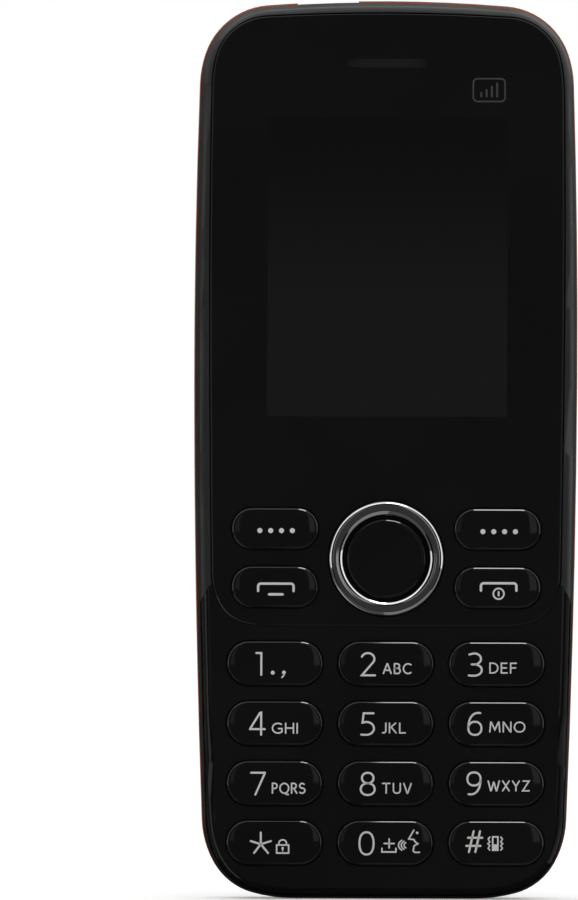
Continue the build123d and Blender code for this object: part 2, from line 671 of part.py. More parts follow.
with BuildPart() as vibration_motor:
    with BuildSketch(Plane.YZ.offset(-13.0)):
        with Locations((2.75, 12.0)):
            Circle(2.0)
    extrude(amount=8.0)
done(vibration_motor.part, "vibration_motor")
with BuildPart() as vibration_weight:
    with BuildSketch(Plane.YZ.offset(-4.6)):
        with BuildLine():
            rim = CenterArc((2.75, 12.0), 2.0, 180, 180)
            Line(rim @ 1, rim @ 0)
        make_face()
        with Locations((2.75, 12.0)):
            Circle(0.7)
    extrude(amount=3.2)
    with BuildSketch(Plane.YZ.offset(-4.95)):
        with Locations((2.75, 12.0)):
            Circle(0.35)
    extrude(amount=0.5)
done(vibration_weight.part, "vibration_weight")

with BuildPart() as antenna_carrier:
    with BuildSketch(face_plane(-3.9)):
        with Locations((11.0, 11.2)):
            RectangleRounded(15.6, 11.2, 1.0)
    extrude(amount=3.7)
done(antenna_carrier.part, "antenna_carrier")
with BuildPart() as cellular_antenna:
    with BuildSketch(face_plane(-4.1)):
        with Locations((11.0, 14.8)):
            Rectangle(14.4, 2.6)
        with Locations((11.0, 7.8)):
            Rectangle(14.4, 2.6)
        with Locations((17.2, 11.2)):
            Rectangle(2.0, 8.0)
    extrude(amount=0.2)
done(cellular_antenna.part, "cellular_antenna")

# ---------------------------------------------------------------- sockets
with BuildPart() as headphone_jack:
    with BuildSketch(face_plane(-3.9)):
        with Locations((JACK_X, 110.45)):
            Rectangle(5.8, 8.9)
    extrude(amount=3.9 + PCB_BACK_D)
    with BuildSketch(Plane.XY.offset(114.9)):
        with Locations((JACK_X, -JACK_D)):
            Circle(2.4)
    extrude(amount=2.95)
    with BuildSketch(Plane.XY.offset(106.8)):
        with Locations((JACK_X, -JACK_D)):
            Circle(JACK_BORE_R)
    extrude(amount=12.0, mode=Mode.SUBTRACT)
done(headphone_jack.part, "headphone_jack")
with BuildPart() as charging_port:
    with BuildSketch(Plane.XY.offset(112.2)):
        with Locations((USB_X, -0.45)):
            RectangleRounded(7.5, 2.4, 0.5)
    extrude(amount=5.4)
    with BuildSketch(Plane.XY.offset(112.9)):
        with Locations((USB_X, -0.45)):
            RectangleRounded(7.0, 1.9, 0.35)
    extrude(amount=6.0, mode=Mode.SUBTRACT)
    with BuildSketch(Plane.XY.offset(112.7)):
        with Locations((USB_X, -0.75)):
            Rectangle(3.7, 0.6)
    extrude(amount=4.2)
    with BuildSketch(face_plane(1.6)):
        with Locations((USB_X - 3.0, 113.4), (USB_X + 3.0, 113.4)):
            Rectangle(1.0, 1.6)
    extrude(amount=PCB_BACK_D - 1.6)
done(charging_port.part, "charging_port")

# ---------------------------------------------------------------- battery
with BuildPart() as battery:
    with BuildSketch(face_plane(BATTERY_BACK_D)):
        with Locations((0, (BATTERY_Z0 + BATTERY_Z1) / 2)):
            RectangleRounded(BATTERY_W, BATTERY_Z1 - BATTERY_Z0, 1.6)
    extrude(amount=BATTERY_FRONT_D - BATTERY_BACK_D)
    fillet(battery.edges().filter_by(Axis.Y, reverse=True), 0.5)
    # recessed contact pads in the top end
    with BuildSketch(Plane.XY.offset(BATTERY_Z1 - 0.25)):
        with Locations((-3.0, 1.9), (0, 1.9), (3.0, 1.9)):
            Rectangle(1.8, 2.2)
    extrude(amount=1.0, mode=Mode.SUBTRACT)
done(battery.part, "battery")

# ---------------------------------------------------------------- screws: six of the same kind
with BuildPart() as housing_screws:
    for spot in SCREWS:
        with BuildSketch(Plane(origin=(spot[0], 0, spot[1]), x_dir=(1, 0, 0), z_dir=(0, 0, 1))):
            Polygon((0, 1.0), (0, -3.3), (0.4, -3.3), (0.7, -2.9), (0.7, 0.2), (1.3, 0.2), (1.3, 0.8), (1.1, 1.0), align=None)
        revolve(axis=Axis((spot[0], 0, spot[1]), (0, 1, 0)))
    with BuildSketch(face_plane(-1.1)):
        with Locations(*SCREWS):
            Rectangle(1.4, 0.32)
            Rectangle(0.32, 1.4)
    extrude(amount=0.5, mode=Mode.SUBTRACT)
done(housing_screws.part, "housing_screws")

print("nodes written:", len([f for f in os.listdir("parts") if f.endswith(".step")]))
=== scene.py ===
import bpy
import bmesh
import json
import math
from mathutils import Matrix, Vector

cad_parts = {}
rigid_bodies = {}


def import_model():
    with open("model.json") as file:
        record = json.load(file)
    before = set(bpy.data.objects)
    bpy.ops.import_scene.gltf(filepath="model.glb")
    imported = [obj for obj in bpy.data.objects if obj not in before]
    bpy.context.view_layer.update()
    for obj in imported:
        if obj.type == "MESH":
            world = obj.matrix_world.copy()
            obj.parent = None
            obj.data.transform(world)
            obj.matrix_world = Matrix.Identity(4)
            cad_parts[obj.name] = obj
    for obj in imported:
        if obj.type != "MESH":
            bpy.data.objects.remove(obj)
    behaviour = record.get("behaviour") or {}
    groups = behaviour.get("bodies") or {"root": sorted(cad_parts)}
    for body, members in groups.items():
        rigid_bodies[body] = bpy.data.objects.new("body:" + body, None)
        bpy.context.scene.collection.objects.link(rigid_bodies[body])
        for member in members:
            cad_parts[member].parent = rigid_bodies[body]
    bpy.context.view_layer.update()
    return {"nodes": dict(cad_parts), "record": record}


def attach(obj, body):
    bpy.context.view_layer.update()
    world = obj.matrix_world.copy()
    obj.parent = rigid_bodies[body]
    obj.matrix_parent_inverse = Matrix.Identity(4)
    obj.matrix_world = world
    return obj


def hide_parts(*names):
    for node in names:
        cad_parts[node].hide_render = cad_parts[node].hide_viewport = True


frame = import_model()
NODES = frame["nodes"]

# ---------------------------------------------------------------- shared dimensions, millimetres, as in the frame
# "d" is the depth towards the screen side, so y = -d
BODY_FLAT = 11.97
BODY_ARCS = [(20.77, 15.197), (8.43, 46.404), (12.64, 26.183), (1638.18, 2.026), (1061.64, 2.129), (13.94, 16.686), (9.42, 66.925)]
WINDOW_BASE, WINDOW_FLAT = 36.0, 15.34
WINDOW_ARCS = [(14.06, 14.522), (5.04, 48.874), (9.08, 25.667), (2830.9, 0.722), (1405.93, 1.153), (19.48, 11.573), (7.25, 74.004)]
SHELL_STEP, COVER_WALL = 0.08, 1.3
BACK_D, BAND_BACK_D, FRONT_D = -7.1, 0.7, 6.3
CROWN_X, CROWN_Z, CROWN_MID_Z = 320.0, 2000.0, 62.0
BACK_FILLET = 3.0
SPEAKER_Z, GRILLE_R = 96.0, 12.0
SPEAKER_RINGS = [(11.4, 0.30), (10.6, 0.30), (9.6, 0.37), (8.75, 0.31), (7.8, 0.30), (7.0, 0.29), (6.15, 0.29)]
KEY_PITCH_X, KEY_ROWS = 14.65, [31.1, 23.2, 15.3, 7.45]
KEY_W, KEY_H, FUNCTION_W, FUNCTION_H = 12.74, 5.95, 11.5, 5.5
FUNCTION_X, SOFT_Z, CALL_Z = 14.7, 48.9, 41.2
KEY_TOP_D, KEY_EDGE, KEY_CROWN, KEY_ENDS = 6.85, 0.46, 0.17, 0.13
NAV_Z = 45.0
PX = 7.576  # pixels of the picture per millimetre, on the window's face
AIM_X, AIM_Z = -12.905, 59.27  # the point of the window's face in the middle of the picture
ROLL, YAW, FAR = math.radians(0.234), math.radians(1.5), 2.0  # the camera's small lean and turn, and its distance in metres


# ---------------------------------------------------------------- materials
class Graph:
    """A short way to write node graphs."""

    def __init__(self, name):
        self.mat = bpy.data.materials.new(name)
        self.mat.use_nodes = True
        self.tree = self.mat.node_tree
        self.shader = self.tree.nodes["Principled BSDF"]
        self.coord = self.tree.nodes.new("ShaderNodeTexCoord").outputs["Object"]

    def link(self, a, b):
        self.tree.links.new(a, b)

    def noise(self, scale, detail=3.0, rough=0.5, stretch=None):
        node = self.tree.nodes.new("ShaderNodeTexNoise")
        node.inputs["Scale"].default_value = scale
        node.inputs["Detail"].default_value = detail
        node.inputs["Roughness"].default_value = rough
        source = self.coord
        if stretch:
            mapping = self.tree.nodes.new("ShaderNodeMapping")
            mapping.inputs["Scale"].default_value = stretch
            self.link(self.coord, mapping.inputs["Vector"])
            source = mapping.outputs["Vector"]
        self.link(source, node.inputs["Vector"])
        return node.outputs["Fac"]

    def voronoi(self, scale, feature="F1"):
        node = self.tree.nodes.new("ShaderNodeTexVoronoi")
        node.feature = feature
        node.inputs["Scale"].default_value = scale
        self.link(self.coord, node.inputs["Vector"])
        return node.outputs["Distance"]

    def span(self, value, low, painted_top_highlight, from_low=0.3, from_high=0.7, smooth=False):
        node = self.tree.nodes.new("ShaderNodeMapRange")
        if smooth:
            node.interpolation_type = "SMOOTHSTEP"
        node.inputs["From Min"].default_value = from_low
        node.inputs["From Max"].default_value = from_high
        node.inputs["To Min"].default_value = low
        node.inputs["To Max"].default_value = painted_top_highlight
        self.link(value, node.inputs["Value"])
        return node.outputs["Result"]

    def mix(self, fac, a, b):
        node = self.tree.nodes.new("ShaderNodeMix")
        node.data_type = "RGBA"
        if isinstance(fac, float):
            node.inputs["Factor"].default_value = fac
        else:
            self.link(fac, node.inputs["Factor"])
        for key, value in ((6, a), (7, b)):
            if isinstance(value, tuple):
                node.inputs[key].default_value = (*value, 1.0)
            else:
                self.link(value, node.inputs[key])
        return node.outputs[2]

    def math(self, op, a, b=None, c=None):
        node = self.tree.nodes.new("ShaderNodeMath")
        node.operation = op
        for k, value in enumerate((a, b, c)):
            if value is None:
                continue
            if isinstance(value, (int, float)):
                node.inputs[k].default_value = value
            else:
                self.link(value, node.inputs[k])
        return node.outputs[0]

    def axes(self):
        node = self.tree.nodes.new("ShaderNodeSeparateXYZ")
        self.link(self.coord, node.inputs[0])
        return node.outputs

    def bump(self, height, distance, strength=1.0, under=None):
        node = self.tree.nodes.new("ShaderNodeBump")
        node.inputs["Strength"].default_value = strength
        node.inputs["Distance"].default_value = distance
        self.link(height, node.inputs["Height"])
        if under is not None:
            self.link(under, node.inputs["Normal"])
        return node.outputs["Normal"]

    def finish(self, color=None, rough=None, normal=None, metallic=0.0, specular=0.5, coat=0.0, coat_rough=0.03, ior=1.5):
        s = self.shader.inputs
        if color is not None:
            self.link(color, s["Base Color"]) if not isinstance(color, tuple) else setattr(s["Base Color"], "default_value", (*color, 1.0))
        if rough is not None:
            self.link(rough, s["Roughness"]) if not isinstance(rough, float) else setattr(s["Roughness"], "default_value", rough)
        if normal is not None:
            self.link(normal, s["Normal"])
        s["Metallic"].default_value = metallic
        s["Specular IOR Level"].default_value = specular
        s["IOR"].default_value = ior
        s["Coat Weight"].default_value = coat
        s["Coat Roughness"].default_value = coat_rough
        return self.mat


def moulded(name, dark, light, rough, grain, depth, specular=0.5, patch=120.0, coat=0.0):
    """Moulded plastic or rubber: fine grain, faint mottling and a roughness that wanders a little."""
    g = Graph(name)
    color = g.mix(g.span(g.noise(patch, 4.0), 0.0, 1.0), dark, light)
    fine = g.noise(grain, 2.0, 0.6)
    roughness = g.span(g.noise(patch * 2.3, 3.0), rough[0], rough[1])
    return g.finish(color, roughness, g.bump(fine, depth), specular=specular, coat=coat)


def metal(name, dark, light, rough, grain=2500.0, depth=0.000004, stretch=None, patch=200.0):
    g = Graph(name)
    color = g.mix(g.span(g.noise(patch, 3.0), 0.0, 1.0), dark, light)
    roughness = g.span(g.noise(grain * 0.4, 3.0, 0.5, stretch), rough[0], rough[1])
    return g.finish(color, roughness, g.bump(g.noise(grain, 2.0, 0.5, stretch), depth), metallic=1.0)


def gloss_black(name, base, lift, rough=(0.045, 0.075)):
    """High-gloss moulding: nearly black, with the faint waviness and haze of handled plastic."""
    g = Graph(name)
    haze = g.span(g.noise(55.0, 4.0, 0.55), 0.0, 1.0, 0.35, 0.75, True)
    color = g.mix(haze, base, lift)
    roughness = g.span(g.noise(260.0, 4.0, 0.6), rough[0], rough[1])
    wave = g.bump(g.noise(38.0, 1.0), 0.0000012)
    return g.finish(color, roughness, wave, specular=0.5)


def window_material():
    """Black-printed window: the switched-off display shows through as a barely lighter rectangle, with a painted glow
    that lightens it towards its bottom.
    """
    g = Graph("window_black_panel")
    x, y, z = g.axes()
    haze = g.span(g.noise(55.0, 4.0, 0.55), 0.0, 1.0, 0.35, 0.75, True)
    body = g.mix(haze, (0.0030, 0.0030, 0.0032), (0.0038, 0.0038, 0.0040))
    inside_x = g.span(g.math("ABSOLUTE", x), 1.0, 0.0, 0.01578, 0.01592)
    inside_z = g.span(g.math("ABSOLUTE", g.math("SUBTRACT", z, 0.08344)), 1.0, 0.0, 0.01962, 0.01978)
    inside = g.math("MULTIPLY", inside_x, inside_z)
    # painted glow: the display area is painted lighter towards its bottom and darker towards its top, standing in for
    # light on the switched-off screen
    painted_screen_glow = g.span(z, 1.0, 0.0, 0.074, 0.104, True)
    screen = g.mix(painted_screen_glow, (0.0026, 0.0027, 0.0028), (0.0066, 0.0068, 0.0066))
    color = g.mix(inside, body, screen)
    roughness = g.span(g.noise(260.0, 4.0, 0.6), 0.035, 0.06)
    return g.finish(color, roughness, g.bump(g.noise(38.0, 1.0), 0.0000008), specular=0.5)


def soft_touch():
    """Soft-touch coating: velvety dark grey, very fine grain, faintly mottled, and a painted highlight that makes it
    paler towards the top.
    """
    g = Graph("soft_touch_coating")
    x, y, z = g.axes()
    patch = g.span(g.noise(34.0, 5.0, 0.55), 0.0, 1.0)
    color = g.mix(patch, (0.0150, 0.0156, 0.0172), (0.0190, 0.0196, 0.0212))
    # painted highlight: the coating is painted paler towards the top of the phone, standing in for light on the curving
    # back
    painted_top_highlight = g.span(z, 0.0, 0.75, 0.055, 0.118, True)
    color = g.mix(painted_top_highlight, color, (0.0300, 0.0305, 0.0315))
    fine = g.noise(9000.0, 2.0, 0.65)
    coarse = g.noise(1400.0, 2.0, 0.5)
    normal = g.bump(fine, 0.0000045, 1.0, g.bump(coarse, 0.0000035))
    roughness = g.span(g.noise(90.0, 4.0), 0.50, 0.62)
    mat = g.finish(color, roughness, normal, specular=0.35)
    g.shader.inputs["Sheen Weight"].default_value = 0.10
    g.shader.inputs["Sheen Roughness"].default_value = 0.45
    return mat


def circuit_board_material():
    g = Graph("circuit_board_mask")
    cells = g.voronoi(620.0)
    tracks = g.span(g.noise(480.0, 2.0, 0.5, (1.0, 1.0, 0.12)), 0.0, 1.0, 0.47, 0.53)
    color = g.mix(tracks, (0.010, 0.075, 0.030), (0.018, 0.125, 0.050))
    pads = g.span(cells, 1.0, 0.0, 0.10, 0.14)
    color = g.mix(pads, color, (0.42, 0.36, 0.18))
    return g.finish(color, g.span(g.noise(700.0), 0.25, 0.4), g.bump(tracks, 0.00002), specular=0.5)


def woven_mesh():
    g = Graph("earpiece_weave")
    x, y, z = g.axes()
    wx = g.math("SINE", g.math("MULTIPLY", x, 26000.0))
    wz = g.math("SINE", g.math("MULTIPLY", z, 26000.0))
    weave = g.math("MULTIPLY", wx, wz)
    color = g.mix(g.span(weave, 0.0, 1.0, -0.6, 0.6), (0.010, 0.010, 0.010), (0.060, 0.060, 0.062))
    return g.finish(color, 0.45, g.bump(weave, 0.00002), metallic=0.4)


def battery_material():
    """Film-wrapped cell with a plain paler panel on its back, bare of lettering."""
    g = Graph("battery_film")
    x, y, z = g.axes()
    panel_x = g.span(g.math("ABSOLUTE", x), 1.0, 0.0, 0.0158, 0.0160)
    panel_z = g.span(g.math("ABSOLUTE", g.math("SUBTRACT", z, 0.0475)), 1.0, 0.0, 0.0218, 0.0220)
    panel = g.math("MULTIPLY", panel_x, panel_z)
    base = g.mix(g.span(g.noise(60.0, 3.0), 0.0, 1.0), (0.020, 0.021, 0.024), (0.027, 0.028, 0.032))
    label = g.mix(g.span(g.noise(90.0, 3.0), 0.0, 1.0), (0.30, 0.31, 0.32), (0.34, 0.35, 0.36))
    color = g.mix(panel, base, label)
    return g.finish(color, g.span(g.noise(300.0), 0.28, 0.4), g.bump(g.noise(160.0, 3.0), 0.00002), specular=0.5)


MATERIALS = {
    "matte_shell": moulded("satin_shell", (0.0135, 0.0138, 0.0140), (0.0160, 0.0163, 0.0165), (0.36, 0.44), 7000.0, 0.0000030, 0.5),
    "gloss_black": gloss_black("fascia_gloss", (0.0030, 0.0031, 0.0031), (0.0042, 0.0043, 0.0043)),
    "gloss_key": gloss_black("key_gloss", (0.0026, 0.0027, 0.0028), (0.0034, 0.0035, 0.0036), (0.05, 0.085)),
    "window_panel": window_material(),
    "orange_frame": moulded("orange_moulding", (0.50, 0.105, 0.030), (0.58, 0.130, 0.040), (0.38, 0.5), 5200.0, 0.000005),
    "soft_touch_cover": soft_touch(),
    "chrome_ring": metal("plated_chrome", (0.78, 0.78, 0.77), (0.83, 0.83, 0.82), (0.06, 0.11), 1800.0, 0.0000005),
    "silicone": moulded("silicone_rubber", (0.085, 0.088, 0.09), (0.11, 0.112, 0.115), (0.5, 0.62), 4200.0, 0.000006, 0.4),
    "dome_film": moulded("dome_film", (0.66, 0.67, 0.65), (0.74, 0.75, 0.73), (0.35, 0.45), 3000.0, 0.000004),
    "spring_steel": metal("spring_steel", (0.50, 0.50, 0.50), (0.60, 0.60, 0.60), (0.22, 0.32), 5200.0),
    "led_body": moulded("led_body", (0.74, 0.74, 0.66), (0.82, 0.82, 0.76), (0.3, 0.4), 5200.0, 0.000003),
    "circuit_board": circuit_board_material(),
    "chip_plastic": moulded("chip_compound", (0.014, 0.014, 0.014), (0.020, 0.020, 0.020), (0.55, 0.7), 6200.0, 0.000006),
    "shield_metal": metal("tinned_sheet", (0.46, 0.47, 0.48), (0.56, 0.57, 0.58), (0.28, 0.4), 5200.0, 0.000004, (1.0, 1.0, 0.1)),
    "black_moulding": moulded("engineering_plastic", (0.014, 0.014, 0.014), (0.020, 0.020, 0.021), (0.42, 0.55), 5200.0, 0.000006),
    "contact_gold": metal("gold_plating", (0.72, 0.48, 0.17), (0.80, 0.56, 0.22), (0.2, 0.3), 4200.0),
    "display_glass": gloss_black("display_glass", (0.006, 0.006, 0.007), (0.008, 0.008, 0.009)),
    "backlight_frame": moulded("backlight_frame", (0.66, 0.66, 0.64), (0.74, 0.74, 0.72), (0.4, 0.5), 4200.0, 0.000004),
    "flex_film": moulded("flex_film", (0.36, 0.17, 0.05), (0.44, 0.22, 0.07), (0.28, 0.38), 900.0, 0.000010),
    "transducer_black": moulded("transducer_frame", (0.014, 0.014, 0.014), (0.022, 0.022, 0.022), (0.45, 0.6), 4200.0, 0.000006),
    "mesh_metal": woven_mesh(),
    "foam_gasket": moulded("foam_gasket", (0.012, 0.012, 0.012), (0.026, 0.026, 0.026), (0.8, 0.9), 2400.0, 0.00006, 0.2),
    "motor_can": metal("motor_can", (0.48, 0.48, 0.48), (0.58, 0.58, 0.58), (0.25, 0.35), 5200.0, 0.000004, (0.1, 1.0, 1.0)),
    "motor_weight": metal("motor_weight", (0.22, 0.22, 0.22), (0.30, 0.30, 0.30), (0.45, 0.6), 3800.0, 0.00001),
    "battery_wrap": battery_material(),
}
PRINT = moulded("key_print", (0.41, 0.41, 0.40), (0.47, 0.47, 0.46), (0.35, 0.45), 3600.0, 0.000002)
PRINT_DIM = moulded("window_print", (0.034, 0.035, 0.036), (0.042, 0.043, 0.044), (0.3, 0.4), 3600.0, 0.000001)
SLOT_OF = {part["node"]: part["material_slot"] for part in frame["record"]["subparts"]}

for name, obj in NODES.items():
    for k in range(len(obj.material_slots)):
        obj.material_slots[k].material = MATERIALS[SLOT_OF[name]]


# ---------------------------------------------------------------- mesh helpers
def place(x, d, z):
    return (x * 0.001, -d * 0.001, z * 0.001)


def make_object(name, verts, faces, material, sharp=32.0):
    mesh = bpy.data.meshes.new(name)
    mesh.from_pydata(verts, [], faces)
    mesh.validate()
    bm = bmesh.new()
    bm.from_mesh(mesh)
    bmesh.ops.remove_doubles(bm, verts=bm.verts, dist=1e-7)
    bmesh.ops.recalc_face_normals(bm, faces=bm.faces)
    bm.to_mesh(mesh)
    bm.free()
    obj = bpy.data.objects.new(name, mesh)
    bpy.context.scene.collection.objects.link(obj)
    if material:
        mesh.materials.append(material)
    soften(obj, sharp)
    return obj


def soften(obj, sharp):
    mesh = obj.data
    mesh.polygons.foreach_set("use_smooth", [True] * len(mesh.polygons))
    mesh.set_sharp_from_angle(angle=math.radians(sharp))
    mesh.update()


def loft(rings, closed=False, cap_start=False, cap_end=False):
    """Quads between rings of equally many points, which are themselves closed."""
    verts, faces = [], []
    count = len(rings[0])
    for ring in rings:
        verts.extend(ring)
    total = len(rings)
    for r in range(total if closed else total - 1):
        a, b = r * count, ((r + 1) % total) * count
        for k in range(count):
            n = (k + 1) % count
            faces.append((a + k, a + n, b + n, b + k))
    if cap_start:
        faces.append(tuple(range(count)))
    if cap_end:
        faces.append(tuple(range((total - 1) * count, total * count)))
    return verts, faces


def arc_outline(base, flat, arcs, turn=2.6, length=1.1):
    """Points (x, z, outward x, outward z) of the closed outline: foot, right side, top, left side."""
    half = []
    steps = max(1, math.ceil(flat / length))
    for k in range(steps):
        half.append((flat * k / steps, base, 0.0, -1.0))
    x, z, heading = flat, base, 0.0
    rest = 180.0 - sum(a for _, a in arcs)
    chain = [(r, math.radians(a)) for r, a in arcs] + [(None, math.radians(rest))]
    for radius, angle in chain:
        if radius is None:
            radius = x / math.sin(angle)
        cx, cz = x - radius * math.sin(heading), z + radius * math.cos(heading)
        steps = max(1, math.ceil(math.degrees(angle) / turn), math.ceil(radius * angle / length))
        for k in range(steps):
            h = heading + angle * k / steps
            half.append((cx + radius * math.sin(h), cz - radius * math.cos(h), math.sin(h), -math.cos(h)))
        heading += angle
        x, z = cx + radius * math.sin(heading), cz - radius * math.cos(heading)
    top = [(0.0, z, 0.0, 1.0)]
    left = [(-p[0], p[1], -p[2], p[3]) for p in reversed(half[1:])]
    return half + top + left


def boolean(obj, cutters, keep_material=True):
    """Cuts closed meshes out of obj, for good."""
    for cutter in cutters:
        mod = obj.modifiers.new("cut", "BOOLEAN")
        mod.operation = "DIFFERENCE"
        mod.solver = "EXACT"
        mod.object = cutter
    bpy.context.view_layer.update()
    graph = bpy.context.evaluated_depsgraph_get()
    made = bpy.data.meshes.new_from_object(obj.evaluated_get(graph))
    obj.modifiers.clear()
    old = obj.data
    obj.data = made
    bpy.data.meshes.remove(old)
    for cutter in cutters:
        data = cutter.data
        bpy.data.objects.remove(cutter)
        bpy.data.meshes.remove(data)
    return obj


def prism(outline, d0, d1):
    """Closed prism between two depths, from (x, z) points."""
    rings = [[place(x, d0, z) for x, z in outline], [place(x, d1, z) for x, z in outline]]
    verts, faces = loft(rings, cap_start=True, cap_end=True)
    return make_object("cutter", verts, faces, None)


def box_outline(x0, x1, z0, z1):
    return [(x0, z0), (x1, z0), (x1, z1), (x0, z1)]


# ---------------------------------------------------------------- back cover: crowned shell with a round opening
def crown_d(x, z, drop=0.0):
    rx, rz = CROWN_X - drop, CROWN_Z - drop
    return BACK_D + drop + (rx - math.sqrt(rx * rx - x * x)) + (rz - math.sqrt(rz * rz - (z - CROWN_MID_Z) ** 2))


def crown_slope(x, z, nx, nz):
    return math.atan(x / CROWN_X * nx + (z - CROWN_MID_Z) / CROWN_Z * nz)


DISH_D = BACK_D + (SPEAKER_Z - CROWN_MID_Z) ** 2 / (2 * CROWN_Z)  # crest of the crown at the dish's centre
DISH_EDGE_D = DISH_D + 0.30
OUTLINE = arc_outline(0.0, BODY_FLAT, BODY_ARCS)


def smooth_step(t):
    t = min(1.0, max(0.0, t))
    return t * t * (3.0 - 2.0 * t)


def cover_side(inset, drop, radius, wall_d, hole_r, hole_edge_d, outer):
    """Rings from the open edge, up the wall, round the fillet and over the crown to the round opening."""
    arcs, radial = 9, 15
    wall, fillet_rings, crown_rings = [], [[] for _ in range(arcs + 1)], [[] for _ in range(radial)]
    spots = []
    for x, z, nx, nz in OUTLINE:
        z -= SHELL_STEP
        ax, az = x - nx * (inset + radius), z - nz * (inset + radius)
        slope = crown_slope(ax, az, nx, nz)
        centre_d = crown_d(ax, az, drop) + radius / math.cos(slope)
        spots.append((x, z, nx, nz, slope, centre_d))
    for k, (x, z, nx, nz, slope, centre_d) in enumerate(spots):
        wx, wz = x - nx * inset, z - nz * inset
        wall.append((wx, wz, centre_d))
        span = math.pi / 2 - slope
        for t in range(arcs + 1):
            a = span * t / arcs
            s = inset + radius * (1.0 - math.cos(a))
            fillet_rings[t].append(place(x - nx * s, centre_d - radius * math.sin(a), z - nz * s))
        s = inset + radius * (1.0 - math.sin(slope))
        ex, ez = x - nx * s, z - nz * s
        angle = math.atan2(ez - SPEAKER_Z, ex)
        qx, qz = hole_r * math.cos(angle), SPEAKER_Z + hole_r * math.sin(angle)
        for v in range(1, radial + 1):
            share = v / radial
            share = 1.0 - (1.0 - share) ** 1.35
            px, pz = ex + (qx - ex) * share, ez + (qz - ez) * share
            d = crown_d(px, pz, drop)
            r = math.hypot(px, pz - SPEAKER_Z)
            if outer and r < 15.2:
                w = smooth_step((r - hole_r) / (15.2 - hole_r))
                d = d * w + hole_edge_d * (1.0 - w)
            crown_rings[v - 1].append(place(px, d, pz))
    walls = []
    for share in (0.0, 0.5):
        walls.append([place(wx, wall_d + (cd - wall_d) * share, wz) for wx, wz, cd in wall])
    return walls + fillet_rings + crown_rings


outer_rings = cover_side(SHELL_STEP, 0.0, BACK_FILLET, BAND_BACK_D, GRILLE_R + 0.01, DISH_EDGE_D, True)
inner_rings = cover_side(SHELL_STEP + COVER_WALL, COVER_WALL, BACK_FILLET - COVER_WALL, BAND_BACK_D, GRILLE_R + 0.01, 0.0, False)
verts, faces = loft(outer_rings + inner_rings[::-1], closed=True)
cover = make_object("cover_shell", verts, faces, MATERIALS["soft_touch_cover"])
nail = []
chord, rise = 1.9, 1.5
nail_r = (chord * chord + rise * rise) / (2 * rise)
nail_half = math.asin(chord / nail_r)
for k in range(17):
    a = -nail_half + 2 * nail_half * k / 16
    nail.append((nail_r * math.sin(a), 1.0 - nail_r + nail_r * math.cos(a)))
nail.reverse()
boolean(cover, [
    prism(box_outline(7.8 - 2.85, 7.8 + 2.85, 114.2, 121.8), -4.6, 1.4),
    prism(box_outline(-7.8 - 4.15, -7.8 + 4.15, 115.0, 121.0), -1.1, 1.9),
    prism(nail, -9.0, -2.6),
    prism(box_outline(-3.0, 3.0, -1.5, 2.7), -2.75, 1.25),
])
soften(cover, 30.0)
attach(cover, "back_cover")
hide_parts("back_cover")


# ---------------------------------------------------------------- perforated dish: every hole is a cell of the mesh
def dish_depth(r):
    knots = [(0.0, DISH_D + 0.05), (4.4, DISH_D + 0.08), (4.95, DISH_D + 0.26), (5.45, DISH_D + 0.53), (7.6, DISH_D + 0.66), (10.0, DISH_D + 0.50), (GRILLE_R, DISH_EDGE_D)]
    for (r0, d0), (r1, d1) in zip(knots, knots[1:]):
        if r <= r1:
            t = (r - r0) / (r1 - r0)
            if r1 <= 5.5:
                t = smooth_step(t)
            return d0 + (d1 - d0) * t
    return DISH_EDGE_D


